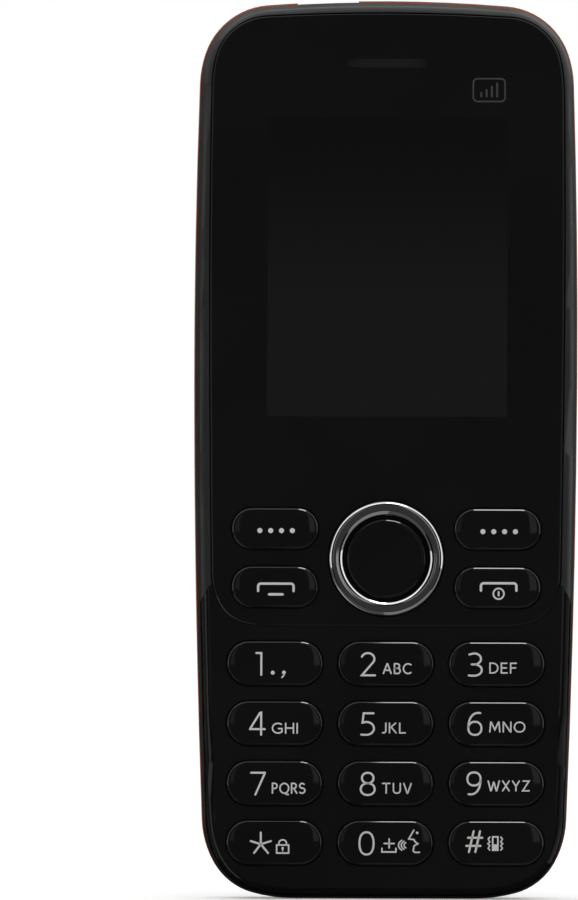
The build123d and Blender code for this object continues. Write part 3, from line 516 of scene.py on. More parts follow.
def grille_mesh():
    """Front sheet with holes, back sheet with holes, and the hole walls between them."""
    verts, faces = [], []
    index = {}

    def vert(x, d, z):
        key = (round(x, 4), round(d, 4), round(z, 4))
        if key not in index:
            index[key] = len(verts)
            verts.append(place(x, d, z))
        return index[key]

    def polar(r, a, d):
        return vert(r * math.cos(a), d, SPEAKER_Z + r * math.sin(a))

    back_d = -5.15
    radii = [r for r, _ in SPEAKER_RINGS]
    limits = [GRILLE_R - 0.18] + [(a + b) / 2 for a, b in zip(radii, radii[1:])] + [5.78]
    step = math.radians(15.0) / 4
    for ring, (mid, hole) in enumerate(SPEAKER_RINGS):
        out_r, in_r = limits[ring], limits[ring + 1]
        for cell in range(24):
            centre = math.radians(15.0) * cell + math.radians(7.5) * (ring % 2)
            border = []
            for k in range(4):
                border.append((out_r, centre - 2 * step + k * step))
            for k in range(4):
                border.append((out_r + (in_r - out_r) * k / 4, centre + 2 * step))
            for k in range(4):
                border.append((in_r, centre + 2 * step - k * step))
            for k in range(4):
                border.append((in_r + (out_r - in_r) * k / 4, centre - 2 * step))
            cx, cz = mid * math.cos(centre), mid * math.sin(centre)
            loops = []
            for share, radius in ((0.0, None), (1.0, hole + 0.06), (1.0, hole)):
                front, back = [], []
                for r, a in border:
                    bx, bz = r * math.cos(a), r * math.sin(a)
                    if radius is None:
                        x, z = bx, bz
                    else:
                        away = math.hypot(bx - cx, bz - cz)
                        x, z = cx + (bx - cx) / away * radius, cz + (bz - cz) / away * radius
                    rr = math.hypot(x, z)
                    d = dish_depth(rr)
                    if radius == hole:
                        d += 0.06
                    front.append(vert(x, d, SPEAKER_Z + z))
                    back.append(vert(x, back_d, SPEAKER_Z + z))
                loops.append((front, back))
            for level in range(2):
                for k in range(16):
                    n = (k + 1) % 16
                    a, b = loops[level][0], loops[level + 1][0]
                    faces.append((a[k], a[n], b[n], b[k]))
            for k in range(16):
                n = (k + 1) % 16
                front, back = loops[2]
                faces.append((front[k], front[n], back[n], back[k]))
                a, b = loops[0][1], loops[2][1]
                faces.append((a[k], b[k], b[n], a[n]))
    # plain rim outside the holes, plain raised centre inside them
    turns = 96
    angles = [math.radians(360.0 / turns * k) for k in range(turns)]
    outer = [limits[0], GRILLE_R - 0.06, GRILLE_R]
    inner = [limits[-1], 5.45, 5.2, 4.95, 4.7, 4.4, 3.6, 2.6, 1.5, 0.6]
    for radii_list in (outer, inner):
        for r0, r1 in zip(radii_list, radii_list[1:]):
            for k in range(turns):
                a, b = angles[k], angles[(k + 1) % turns]
                faces.append((polar(r0, a, dish_depth(r0)), polar(r0, b, dish_depth(r0)), polar(r1, b, dish_depth(r1)), polar(r1, a, dish_depth(r1))))
                faces.append((polar(r0, a, back_d), polar(r1, a, back_d), polar(r1, b, back_d), polar(r0, b, back_d)))
    for k in range(turns):
        a, b = angles[k], angles[(k + 1) % turns]
        faces.append((polar(GRILLE_R, a, dish_depth(GRILLE_R)), polar(GRILLE_R, b, dish_depth(GRILLE_R)), polar(GRILLE_R, b, back_d), polar(GRILLE_R, a, back_d)))
    faces.append(tuple(polar(0.6, a, dish_depth(0.6)) for a in angles))
    faces.append(tuple(polar(0.6, a, back_d) for a in angles))
    return verts, faces


verts, faces = grille_mesh()
grille = make_object("dish_grille", verts, faces, MATERIALS["soft_touch_cover"], 40.0)
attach(grille, "back_cover")
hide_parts("speaker_grille")


# ---------------------------------------------------------------- seal between the window's lower edge and the fascia
half_edge = [p for p in arc_outline(WINDOW_BASE, WINDOW_FLAT, WINDOW_ARCS) if p[0] >= 0.0 and p[1] < 41.6]
seal_line = [(-x, z, -nx, nz) for x, z, nx, nz in reversed(half_edge[1:])] + half_edge
seal_rings = []
for x, z, nx, nz in seal_line:
    seal_rings.append([place(x + nx * s, d, z + nz * s) for s, d in ((-0.13, 5.95), (0.095, 5.95), (0.095, 6.19), (-0.02, 6.205), (-0.13, 6.19))])
verts, faces = loft(seal_rings, cap_start=True, cap_end=True)
seal = make_object("window_seal", verts, faces, MATERIALS["gloss_black"])
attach(seal, "phone")


# ---------------------------------------------------------------- keys: pillow-topped caps
def stadium(cx, cz, width, height, inset, straight=10, turns=20):
    """Closed ring of (x, z) points; the count doesn't depend on the inset."""
    half = (width - height) / 2
    r = max(height / 2 - inset, 0.0)
    pts = []
    for k in range(straight):
        pts.append((cx - half + 2 * half * k / straight, cz - r))
    for k in range(turns):
        a = -math.pi / 2 + math.pi * k / turns
        pts.append((cx + half + r * math.cos(a), cz + r * math.sin(a)))
    for k in range(straight):
        pts.append((cx + half - 2 * half * k / straight, cz + r))
    for k in range(turns):
        a = math.pi / 2 + math.pi * k / turns
        pts.append((cx - half + r * math.cos(a), cz + r * math.sin(a)))
    return pts


def key_top(x, z, cx, cz, width, height):
    """Depth of the pillow top over a point."""
    half = (width - height) / 2
    away = math.hypot(max(abs(x - cx) - half, 0.0), z - cz) / (height / 2)
    return KEY_TOP_D - KEY_CROWN * away ** 2.4 - end_drop(x, cx, width)


def end_drop(x, cx, width):
    """How far the cap sinks towards its two ends."""
    return KEY_ENDS * (abs(x - cx) / (width / 2)) ** 4


def key_mesh(cx, cz, width, height):
    half_h = height / 2
    rho = 1.0 - KEY_EDGE / half_h
    edge_d = KEY_TOP_D - KEY_CROWN * rho ** 2.4
    slope = math.atan(2.4 * KEY_CROWN * rho ** 1.4 / half_h)
    centre_d = edge_d - KEY_EDGE / math.cos(slope)
    profile = [(-0.5, 4.45), (-0.5, 4.95), (0.0, 4.95), (0.0, 5.6), (0.0, centre_d)]
    for k in range(1, 9):
        a = (math.pi / 2 - slope) * k / 8
        profile.append((KEY_EDGE * (1.0 - math.cos(a)), centre_d + KEY_EDGE * math.sin(a)))
    last = profile[-1][0]
    for k in range(1, 10):
        s = last + (half_h - last) * k / 9
        profile.append((s, KEY_TOP_D - KEY_CROWN * max(0.0, 1.0 - s / half_h) ** 2.4))
    rings = []
    for s, d in profile:
        sink = 1.0 if d > 5.7 else 0.0
        rings.append([place(x, d - sink * end_drop(x, cx, width), z) for x, z in stadium(cx, cz, width, height, s)])
    return loft(rings, cap_start=True)


KEYS = {}
for n, key_name in enumerate(["key_1", "key_2", "key_3", "key_4", "key_5", "key_6", "key_7", "key_8", "key_9", "key_star", "key_0", "key_hash"]):
    KEYS[key_name] = ((n % 3 - 1) * KEY_PITCH_X, KEY_ROWS[n // 3], KEY_W, KEY_H)
KEYS["soft_key_left"] = (-FUNCTION_X, SOFT_Z, FUNCTION_W, FUNCTION_H)
KEYS["soft_key_right"] = (FUNCTION_X, SOFT_Z, FUNCTION_W, FUNCTION_H)
KEYS["call_key"] = (-FUNCTION_X, CALL_Z, FUNCTION_W, FUNCTION_H)
KEYS["end_key"] = (FUNCTION_X, CALL_Z, FUNCTION_W, FUNCTION_H)
for key_name, dims in KEYS.items():
    verts, faces = key_mesh(*dims)
    cap = make_object("cap_" + key_name, verts, faces, MATERIALS["gloss_key"], 40.0)
    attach(cap, key_name)
    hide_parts(key_name)


# ---------------------------------------------------------------- ring and confirm key: turned profiles
def through(p0, p1, p2, count):
    """Points on the arc from p0 through p1 to p2, without p0."""
    (ax, ay), (bx, by), (cx, cy) = p0, p1, p2
    f = 2 * (ax * (by - cy) + bx * (cy - ay) + cx * (ay - by))
    ux = ((ax * ax + ay * ay) * (by - cy) + (bx * bx + by * by) * (cy - ay) + (cx * cx + cy * cy) * (ay - by)) / f
    uy = ((ax * ax + ay * ay) * (cx - bx) + (bx * bx + by * by) * (ax - cx) + (cx * cx + cy * cy) * (bx - ax)) / f
    r = math.hypot(ax - ux, ay - uy)
    a0, a1, a2 = (math.atan2(y - uy, x - ux) for x, y in (p0, p1, p2))
    while a1 < a0:
        a1 += 2 * math.pi
    while a2 < a0:
        a2 += 2 * math.pi
    if a1 > a2:
        a2 -= 2 * math.pi
    return [(ux + r * math.cos(a0 + (a2 - a0) * k / count), uy + r * math.sin(a0 + (a2 - a0) * k / count)) for k in range(1, count + 1)]


def turned(name, profile, material, closed, turns=160):
    """Revolves (radius, depth) points about the ring's axis."""
    rings = []
    for r, d in profile:
        rings.append([place(r * math.cos(2 * math.pi * k / turns), d, NAV_Z + r * math.sin(2 * math.pi * k / turns)) for k in range(turns)])
    verts, faces = loft(rings, closed=closed)
    return make_object(name, verts, faces, material, 40.0)


R, IR = 7.6, 5.63
ring_profile = [(IR, 6.35), (IR, 5.3), (R, 5.3), (R, 6.41)]
ring_profile += through((R, 6.41), (R - 0.193, 6.877), (R - 0.66, 7.07), 16)
ring_profile += through((R - 0.66, 7.07), (R - 0.88, 7.082), (R - 1.10, 7.05), 5)
ring_profile += through((R - 1.10, 7.05), (R - 1.67, 6.83), (IR, 6.35), 18)[:-1]
ring = turned("plated_ring", ring_profile, MATERIALS["chrome_ring"], True)
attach(ring, "nav_ring")
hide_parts("nav_ring")
# painted shade: the flange under the ring is given black moulding, though it is plated like the ring, so the gap round
# the ring reads as shaded
shade_flange = turned("ring_flange", [(6.3, 5.34), (6.3, 4.5), (8.05, 4.5), (8.05, 4.85), (7.52, 4.85), (7.52, 5.34)], MATERIALS["black_moulding"], True)
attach(shade_flange, "nav_ring")

OK_R = 5.35
ok_profile = [(0.02, 3.75), (1.5, 3.75), (1.5, 4.3), (OK_R, 4.3), (OK_R, 4.55), (6.05, 4.55), (6.05, 4.9), (OK_R, 4.9), (OK_R, 6.1)]
ok_profile += through((OK_R, 6.1), (OK_R - 0.22, 6.5), (OK_R - 0.75, 6.66), 10)
ball = ((OK_R - 0.75) ** 2 + 0.10 ** 2) / 0.20
for k in range(1, 9):
    r = (OK_R - 0.75) * (1.0 - k / 8) + 0.02 * k / 8
    ok_profile.append((r, 6.76 - (ball - math.sqrt(ball * ball - r * r))))
ok = turned("confirm_cap", ok_profile, MATERIALS["gloss_key"], True)
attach(ok, "ok_key")
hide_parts("ok_key")


# ---------------------------------------------------------------- printed marks: thin strokes that lie on the surface
def bow(cx, cy, rx, ry, a0, a1, count=None):
    count = count or max(3, math.ceil(abs(a1 - a0) / 12))
    return [(cx + rx * math.cos(math.radians(a0 + (a1 - a0) * k / count)), cy + ry * math.sin(math.radians(a0 + (a1 - a0) * k / count))) for k in range(count + 1)]


def squarish(cx, cy, rx, ry, power, a0=0, a1=360, count=40):
    pts = []
    for k in range(count + 1):
        a = math.radians(a0 + (a1 - a0) * k / count)
        c, s = math.cos(a), math.sin(a)
        pts.append((cx + rx * math.copysign(abs(c) ** (2 / power), c), cy + ry * math.copysign(abs(s) ** (2 / power), s)))
    return pts


SIX = [squarish(0.28, 0.295, 0.28, 0.295, 2.2), squarish(0.42, 0.33, 0.42, 0.66, 2.15, 180, 79, 16)]
GLYPHS = {
    "1": [[(0.0, 0.985), (0.19, 0.985), (0.19, 0.0)]],
    "2": [bow(0.25, 0.735, 0.265, 0.265, 158, -28) + [(0.02, 0.02), (0.0, 0.0), (0.545, 0.0)]],
    "3": [[(0.02, 0.955)] + bow(0.235, 0.755, 0.26, 0.245, 105, -90) + [(0.12, 0.51)], bow(0.225, 0.255, 0.305, 0.255, 82, -90) + [(0.10, 0.0), (0.0, 0.015)]],
    "4": [[(0.45, 0.0), (0.45, 1.0), (0.40, 0.985), (0.0, 0.275), (0.0, 0.255), (0.60, 0.255)]],
    "5": [[(0.52, 0.985), (0.10, 0.985), (0.055, 0.56)] + bow(0.215, 0.305, 0.325, 0.29, 95, -90) + [(0.10, 0.015), (0.0, 0.025)]],
    "6": [[(x, y + 0.03) for x, y in stroke] for stroke in SIX],
    "7": [[(0.0, 0.985), (0.575, 0.985), (0.57, 0.95), (0.18, 0.0)]],
    "8": [squarish(0.285, 0.765, 0.235, 0.235, 2.1), squarish(0.285, 0.265, 0.285, 0.265, 2.1)],
    "9": [[(0.56 - x, 1.035 - y) for x, y in stroke] for stroke in SIX],
    "0": [squarish(0.285, 0.5, 0.285, 0.5, 2.3)],
    "*": [[(0.36, 0.455), (0.36, 1.0)], [(0.36, 0.455), (-0.005, 0.60)], [(0.36, 0.455), (0.725, 0.60)], [(0.36, 0.455), (0.115, 0.045)], [(0.36, 0.455), (0.625, 0.045)]],
    "#": [[(0.33, 1.0), (0.12, 0.0)], [(0.62, 1.0), (0.41, 0.0)], [(0.075, 0.685), (0.72, 0.685)], [(0.0, 0.295), (0.645, 0.295)]],
    "A": [[(0.0, 0.0), (0.33, 1.0), (0.37, 1.0), (0.70, 0.0)], [(0.12, 0.33), (0.58, 0.33)]],
    "B": [[(0.0, 0.0), (0.0, 1.0), (0.22, 1.0)] + bow(0.24, 0.765, 0.22, 0.235, 90, -90) + [(0.0, 0.53)], [(0.0, 0.53), (0.26, 0.53)] + bow(0.28, 0.265, 0.24, 0.265, 90, -90) + [(0.0, 0.0)]],
    "C": [bow(0.42, 0.5, 0.42, 0.5, 52, 308)],
    "D": [[(0.0, 0.0), (0.0, 1.0), (0.2, 1.0)] + bow(0.24, 0.5, 0.42, 0.5, 90, -90) + [(0.0, 0.0)]],
    "E": [[(0.46, 1.0), (0.0, 1.0), (0.0, 0.0), (0.48, 0.0)], [(0.0, 0.52), (0.42, 0.52)]],
    "F": [[(0.47, 1.0), (0.0, 1.0), (0.0, 0.0)], [(0.0, 0.52), (0.41, 0.52)]],
    "G": [bow(0.44, 0.5, 0.44, 0.5, 52, 300) + [(0.76, 0.13), (0.76, 0.46), (0.48, 0.46)]],
    "H": [[(0.0, 0.0), (0.0, 1.0)], [(0.62, 0.0), (0.62, 1.0)], [(0.0, 0.52), (0.62, 0.52)]],
    "I": [[(0.0, 0.0), (0.0, 1.0)]],
    "J": [[(0.26, 1.0), (0.26, 0.22)] + bow(0.06, 0.22, 0.20, 0.22, 0, -110)],
    "K": [[(0.0, 0.0), (0.0, 1.0)], [(0.50, 1.0), (0.02, 0.48)], [(0.14, 0.60), (0.54, 0.0)]],
    "L": [[(0.0, 1.0), (0.0, 0.0), (0.46, 0.0)]],
    "M": [[(0.0, 0.0), (0.07, 1.0), (0.11, 1.0), (0.42, 0.22), (0.73, 1.0), (0.77, 1.0), (0.84, 0.0)]],
    "N": [[(0.0, 0.0), (0.0, 1.0), (0.04, 1.0), (0.60, 0.0), (0.64, 0.0), (0.64, 1.0)]],
    "O": [bow(0.44, 0.5, 0.44, 0.5, 0, 360)],
    "P": [[(0.0, 0.0), (0.0, 1.0), (0.2, 1.0)] + bow(0.22, 0.735, 0.24, 0.265, 90, -90) + [(0.0, 0.47)]],
    "Q": [bow(0.44, 0.5, 0.44, 0.5, 0, 360), [(0.46, 0.02), (0.60, -0.10), (0.84, -0.14)]],
    "R": [[(0.0, 0.0), (0.0, 1.0), (0.2, 1.0)] + bow(0.22, 0.745, 0.24, 0.255, 90, -90) + [(0.0, 0.49)], [(0.22, 0.49), (0.52, 0.0)]],
    "S": [bow(0.27, 0.755, 0.25, 0.245, 40, 265) + bow(0.25, 0.265, 0.29, 0.265, 80, -140)],
    "T": [[(0.0, 1.0), (0.62, 1.0)], [(0.31, 1.0), (0.31, 0.0)]],
    "U": [[(0.0, 1.0), (0.0, 0.3)] + bow(0.29, 0.3, 0.29, 0.3, 180, 360) + [(0.58, 1.0)]],
    "V": [[(0.0, 1.0), (0.29, 0.0), (0.33, 0.0), (0.62, 1.0)]],
    "W": [[(0.0, 1.0), (0.22, 0.0), (0.26, 0.0), (0.46, 0.86), (0.50, 0.86), (0.70, 0.0), (0.74, 0.0), (0.96, 1.0)]],
    "X": [[(0.0, 0.0), (0.56, 1.0)], [(0.0, 1.0), (0.56, 0.0)]],
    "Y": [[(0.0, 1.0), (0.29, 0.47), (0.58, 1.0)], [(0.29, 0.47), (0.29, 0.0)]],
    "Z": [[(0.03, 1.0), (0.55, 1.0), (0.0, 0.0), (0.57, 0.0)]],
}


def finer(points, step):
    """Points no further than a step apart along a line of straight runs."""
    out = [points[0]]
    for (x0, y0), (x1, y1) in zip(points, points[1:]):
        length = math.hypot(x1 - x0, y1 - y0)
        if length < 1e-6:
            continue
        count = max(1, math.ceil(length / step))
        for k in range(1, count + 1):
            out.append((x0 + (x1 - x0) * k / count, y0 + (y1 - y0) * k / count))
    return out


def stroke_faces(points, width, verts, faces, surface):
    """A flat band of even width along the points, with round ends, lying just over the surface."""
    points = finer(points, 0.28)
    if len(points) < 2:
        return
    closed = math.dist(points[0], points[-1]) < 1e-3
    if closed:
        points = points[:-1]
    count = len(points)
    half = width / 2
    left, right = [], []
    for k, (x, z) in enumerate(points):
        before = points[k - 1] if (k or closed) else None
        after = points[(k + 1) % count] if (k < count - 1 or closed) else None
        dirs = []
        if before is not None:
            dirs.append(((x - before[0]), (z - before[1])))
        if after is not None:
            dirs.append(((after[0] - x), (after[1] - z)))
        units = [(a / math.hypot(a, b), b / math.hypot(a, b)) for a, b in dirs]
        tx, tz = sum(u[0] for u in units), sum(u[1] for u in units)
        length = math.hypot(tx, tz)
        if length < 1e-6:
            tx, tz, length = units[0][0], units[0][1], 1.0
        tx, tz = tx / length, tz / length
        grow = 1.0
        if len(units) == 2:
            cosine = max(0.45, tx * units[0][0] + tz * units[0][1])
            grow = 1.0 / cosine
        left.append((x - tz * half * grow, z + tx * half * grow))
        right.append((x + tz * half * grow, z - tx * half * grow))

    def add(p):
        verts.append(place(p[0], surface(*p), p[1]))
        return len(verts) - 1

    li = [add(p) for p in left]
    ri = [add(p) for p in right]
    for k in range(count if closed else count - 1):
        n = (k + 1) % count
        faces.append((li[k], ri[k], ri[n], li[n]))
    if not closed:
        for end, other in ((0, 1), (count - 1, count - 2)):
            x, z = points[end]
            ox, oz = points[other]
            out = math.atan2(z - oz, x - ox)
            fan = []
            for k in range(1, 6):
                a = out - math.pi / 2 + math.pi * k / 6
                fan.append(add((x + half * math.cos(a), z + half * math.sin(a))))
            first, last = (li[0], ri[0]) if end == 0 else (ri[-1], li[-1])
            faces.append((first, *fan, last))


def disc_faces(cx, cz, radius, verts, faces, surface):
    turns = 24
    ring = []
    for k in range(turns):
        a = 2 * math.pi * k / turns
        p = (cx + radius * math.cos(a), cz + radius * math.sin(a))
        verts.append(place(p[0], surface(*p), p[1]))
        ring.append(len(verts) - 1)
    faces.append(tuple(ring))


def marks(name, body, material, surface, strokes=(), discs=(), areas=()):
    """One printed piece: strokes (points, width), discs (x, z, radius) and filled areas."""
    verts, faces = [], []
    for points, width in strokes:
        stroke_faces(points, width, verts, faces, surface)
    for x, z, radius in discs:
        disc_faces(x, z, radius, verts, faces, surface)
    for points in areas:
        start = len(verts)
        for p in points:
            verts.append(place(p[0], surface(*p), p[1]))
        faces.append(tuple(range(start, len(verts))))
    mesh = bpy.data.meshes.new(name)
    mesh.from_pydata(verts, [], faces)
    mesh.validate()
    mesh.materials.append(material)
    bm = bmesh.new()
    bm.from_mesh(mesh)
    for face in bm.faces:
        if face.normal.y > 0:
            face.normal_flip()
    bm.to_mesh(mesh)
    bm.free()
    obj = bpy.data.objects.new(name, mesh)
    bpy.context.scene.collection.objects.link(obj)
    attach(obj, body)
    return obj


def glyph_extent(text, gap):
    """Strokes of a word in units of its height, laid out from 0, and its width."""
    x, out = 0.0, []
    for letter in text:
        strokes = GLYPHS[letter]
        low = min(p[0] for s in strokes for p in s)
        painted_top_highlight = max(p[0] for s in strokes for p in s)
        for s in strokes:
            out.append([(px - low + x, py) for px, py in s])
        x += painted_top_highlight - low + gap
    return out, x - gap


def word(text, x0, x1, base, height, width, gap=0.30):
    """Strokes that fill x0 to x1 and base to base + height from outer edge to outer edge."""
    strokes, extent = glyph_extent(text, gap)
    sx = (x1 - x0 - width) / max(extent, 1e-6)
    sz = height - width
    return [([(x0 + width / 2 + px * sx, base + width / 2 + pz * sz) for px, pz in s], width) for s in strokes]


LIFT = 0.014


def key_surface(name):
    dims = KEYS[name]
    return lambda x, z: key_top(x, z, *dims) + LIFT


# picture columns to millimetres from the phone's middle line, row by row
AXIS = {0: 385.93, 1: 385.68, 2: 385.44, 3: 385.20}


def col(px, row):
    return (px - AXIS[row]) / PX


def lev(py):
    return (899.0 - py) / PX


DIGIT_W, LETTER_W = 0.255, 0.185
legend = {}
for key_name, digit, dx0, dx1, letters, lx0, lx1, rise, row in (
    ("key_2", "2", 360.8, 376.0, "ABC", 382.7, 411.6, 0.16, 0),
    ("key_3", "3", 467.8, 482.8, "DEF", 489.3, 517.0, 0.28, 0),
    ("key_4", "4", 249.1, 265.7, "GHI", 271.7, 297.8, 0.14, 1),
    ("key_5", "5", 360.2, 374.9, "JKL", 381.8, 406.0, 0.22, 1),
    ("key_6", "6", 467.4, 482.4, "MNO", 489.2, 525.5, 0.40, 1),
    ("key_7", "7", 250.0, 265.7, "PQRS", 271.7, 305.5, 0.12, 2),
    ("key_8", "8", 359.7, 375.6, "TUV", 381.8, 411.8, 0.16, 2),
    ("key_9", "9", 466.4, 481.5, "WXYZ", 487.5, 530.0, 0.53, 2),
    ("key_0", "0", 358.4, 374.5, None, 0, 0, 0, 3),
):
    middle = KEYS[key_name][1]
    base = middle - 1.65
    strokes = word(digit, col(dx0, row), col(dx1, row), base, 3.19, DIGIT_W)
    if letters:
        strokes += word(letters, col(lx0, row), col(lx1, row), base + 0.13 + rise, 1.47, LETTER_W)
    legend[key_name] = {"strokes": strokes, "discs": []}

# 1 with full stop and comma
z1 = KEYS["key_1"][1]
legend["key_1"] = {
    "strokes": word("1", col(255.2, 0), col(262.2, 0), z1 - 1.65, 3.19, DIGIT_W)
    + [([(col(284.0, 0), z1 - 1.22), (col(284.2, 0), z1 - 1.42), (col(283.2, 0), z1 - 1.67), (col(281.8, 0), z1 - 1.84)], 0.18)],
    "discs": [(col(272.7, 0), z1 - 1.22, 0.26), (col(283.9, 0), z1 - 1.19, 0.25)],
}

# star with a padlock
zs = KEYS["key_star"][1]
legend["key_star"] = {"strokes": word("*", col(249.7, 3), col(271.7, 3), zs - 1.62, 3.08, DIGIT_W), "discs": []}
lx, lz = col(282.6, 3), zs - 1.37
legend["key_star"]["strokes"] += [
    ([(lx - 0.79, lz), (lx + 0.79, lz), (lx + 0.79, lz + 1.06), (lx - 0.79, lz + 1.06), (lx - 0.79, lz)], 0.20),
    ([(lx - 0.50, lz + 1.08), (lx - 0.50, lz + 1.28)] + bow(lx, lz + 1.30, 0.50, 0.44, 180, 0) + [(lx + 0.50, lz + 1.08)], 0.20),
    ([(lx, lz + 0.30), (lx, lz + 0.62)], 0.17),
]
legend["key_star"]["discs"] += [(lx, lz + 0.64, 0.17)]

# zero with a plus over a space bracket, and a speaking mark
z0 = KEYS["key_0"][1]
bx0, bx1, px_ = col(381.9, 3), col(395.9, 3), col(389.1, 3)
wave_x = col(408.6, 3)
legend["key_0"]["strokes"] += [
    ([(bx0, z0 - 0.70), (bx0, z0 - 1.18), (bx1, z0 - 1.18), (bx1, z0 - 0.70)], 0.20),
    ([(px_ - 0.66, z0 - 0.06), (px_ + 0.66, z0 - 0.06)], 0.20),
    ([(px_, z0 - 0.64), (px_, z0 + 0.54)], 0.20),
    (bow(wave_x, z0 - 0.28, 0.62, 0.44, 128, 232), 0.17),
    (bow(wave_x, z0 - 0.28, 0.98, 0.66, 128, 232), 0.17),
    (bow(wave_x, z0 - 0.28, 1.34, 0.88, 132, 228), 0.17),
    ([(wave_x + 0.68, z0 + 1.70), (wave_x + 0.02, z0 + 0.56), (wave_x + 0.70, z0 + 0.46), (wave_x + 0.86, z0 + 0.16), (wave_x + 1.22, z0 - 0.08),
      (wave_x + 0.72, z0 - 0.36), (wave_x + 0.66, z0 - 0.66), (wave_x + 0.60, z0 - 1.02), (wave_x + 0.80, z0 - 1.22), (wave_x + 1.44, z0 - 1.22)], 0.19),
]
legend["key_0"]["discs"] += [(wave_x + 1.12, z0 + 1.36, 0.17)]

# hash with a shaking phone
zh = KEYS["key_hash"][1]
hx, hz = col(495.3, 3), zh - 0.02
legend["key_hash"] = {"strokes": word("#", col(465.3, 3), col(483.2, 3), zh - 1.28, 3.02, 0.27), "discs": []}
legend["key_hash"]["strokes"] += [
    ([(hx - 0.34, hz - 0.88), (hx + 0.34, hz - 0.88), (hx + 0.34, hz + 0.88), (hx - 0.34, hz + 0.88), (hx - 0.34, hz - 0.88)], 0.20),
    ([(hx - 0.20, hz - 0.20), (hx + 0.20, hz - 0.20)], 0.18),
    ([(hx - 0.20, hz - 0.38), (hx + 0.20, hz - 0.38)], 0.18),
    ([(hx - 0.20, hz - 0.56), (hx + 0.20, hz - 0.56)], 0.18),
    ([(hx - 0.20, hz - 0.72), (hx + 0.20, hz - 0.72)], 0.16),
    ([(hx - 0.72, hz + 0.86), (hx - 0.94, hz + 0.60), (hx - 0.72, hz + 0.20), (hx - 0.98, hz - 0.02), (hx - 0.72, hz - 0.28), (hx - 0.94, hz - 0.62), (hx - 0.72, hz - 0.86)], 0.17),
    ([(hx + 0.72, hz + 0.86), (hx + 0.94, hz + 0.60), (hx + 0.72, hz + 0.20), (hx + 0.98, hz - 0.02), (hx + 0.72, hz - 0.28), (hx + 0.94, hz - 0.62), (hx + 0.72, hz - 0.86)], 0.17),
]

# function keys: four dots each, a handset over a dash, a handset over a power mark
for key_name in ("soft_key_left", "soft_key_right"):
    cx, cz = KEYS[key_name][:2]
    dx, dz = (0.12, -0.27) if key_name == "soft_key_left" else (0.18, -0.30)
    legend[key_name] = {"strokes": [], "discs": [(cx + dx + 1.43 * (k - 1.5), cz + dz, 0.335) for k in range(4)]}


def handset(cx, top):
    return [(cx - 2.34, top - 0.98), (cx - 2.34, top - 0.52)] + bow(cx - 1.98, top - 0.36, 0.36, 0.36, 180, 90)[1:] + bow(cx + 1.98, top - 0.36, 0.36, 0.36, 90, 0) + [(cx + 2.34, top - 0.98)]


cx, cz = KEYS["call_key"][:2]
call_top = lev(583.6)
legend["call_key"] = {"strokes": [(handset(cx + 0.12, call_top), 0.31), ([(cx - 0.76, lev(594.3)), (cx + 1.00, lev(594.3))], 0.33)], "discs": []}
cx, cz = KEYS["end_key"][:2]
end_top = lev(582.4)
px_, pz_ = cx + 0.14, lev(592.9)
legend["end_key"] = {
    "strokes": [(handset(cx + 0.14, end_top), 0.31), (bow(px_, pz_, 0.70, 0.70, 0, 360, 36), 0.21), ([(px_, pz_ - 0.22), (px_, pz_ + 0.24)], 0.24)],
    "discs": [],
}
for key_name, parts in legend.items():
    marks("print_" + key_name, key_name, PRINT, key_surface(key_name), parts["strokes"], parts["discs"])

# small outlined badge at the window's top right: plain signal bars
bx, bz = 13.35, 106.9
badge = []
for corner_x, corner_z, a in ((1, 1, 0), (-1, 1, 90), (-1, -1, 180), (1, -1, 270)):
    badge += bow(bx + corner_x * 1.55, bz + corner_z * 0.95, 0.55, 0.55, a, a + 90, 6)
badge.append(badge[0])
bars = [([(bx - 1.05 + 0.70 * k, bz - 0.82), (bx - 1.05 + 0.70 * k, bz - 0.82 + 0.42 * (k + 1))], 0.26) for k in range(4)]
marks("badge_signal_bars", "phone", PRINT_DIM, lambda x, z: FRONT_D + 0.010, [(badge, 0.20)] + bars)

# polarity marks on the battery's back, by its contacts
battery_back = lambda x, z: -4.70 - 0.012
marks_battery = [([(-3.7, 73.4), (-2.3, 73.4)], 0.3), ([(-3.0, 72.7), (-3.0, 74.1)], 0.3), ([(2.3, 73.4), (3.7, 73.4)], 0.3)]
polarity = marks("battery_polarity", "battery", PRINT, battery_back, marks_battery)
for face in polarity.data.polygons:
    face.flip()

# ---------------------------------------------------------------- floor, light and camera
bpy.ops.mesh.primitive_plane_add(size=6.0, location=(0.0, 0.0, -0.00002))
floor = bpy.context.object
floor.name = "studio_floor"
g = Graph("studio_paper")
tone = g.mix(g.span(g.noise(6.0, 3.0), 0.0, 1.0), (0.90, 0.90, 0.90), (0.93, 0.93, 0.93))
floor.data.materials.append(g.finish(tone, 0.9, g.bump(g.noise(900.0), 0.00002), specular=0.1))
g.shader.inputs["Emission Color"].default_value = (1.0, 1.0, 1.0, 1.0)
g.shader.inputs["Emission Strength"].default_value = 0.22
floor.visible_glossy = False
floor.visible_shadow = False

world = bpy.data.worlds.new("studio_white")
bpy.context.scene.world = world
world.use_nodes = True
world.node_tree.nodes["Background"].inputs["Color"].default_value = (1.0, 1.0, 1.0, 1.0)
world.node_tree.nodes["Background"].inputs["Strength"].default_value = 1.0
world.cycles_visibility.glossy = False


def panel(name, at, aim, wide, painted_top_highlight, power, tint=(1.0, 1.0, 1.0)):
    """A soft box that shows as a reflection in the glossy pieces."""
    data = bpy.data.lights.new(name, "AREA")
    data.shape = "RECTANGLE"
    data.size, data.size_y = wide, painted_top_highlight
    data.energy = power
    data.color = tint
    obj = bpy.data.objects.new(name, data)
    bpy.context.scene.collection.objects.link(obj)
    obj.location = at
    obj.rotation_euler = (Vector(aim) - Vector(at)).to_track_quat("-Z", "Y").to_euler()
    obj.visible_camera = False
    obj.visible_diffuse = False
    return obj


TOP, SIDE, NEAR, AWAY, LOW = 0.66, 0.75, -0.42, 0.90, -0.45


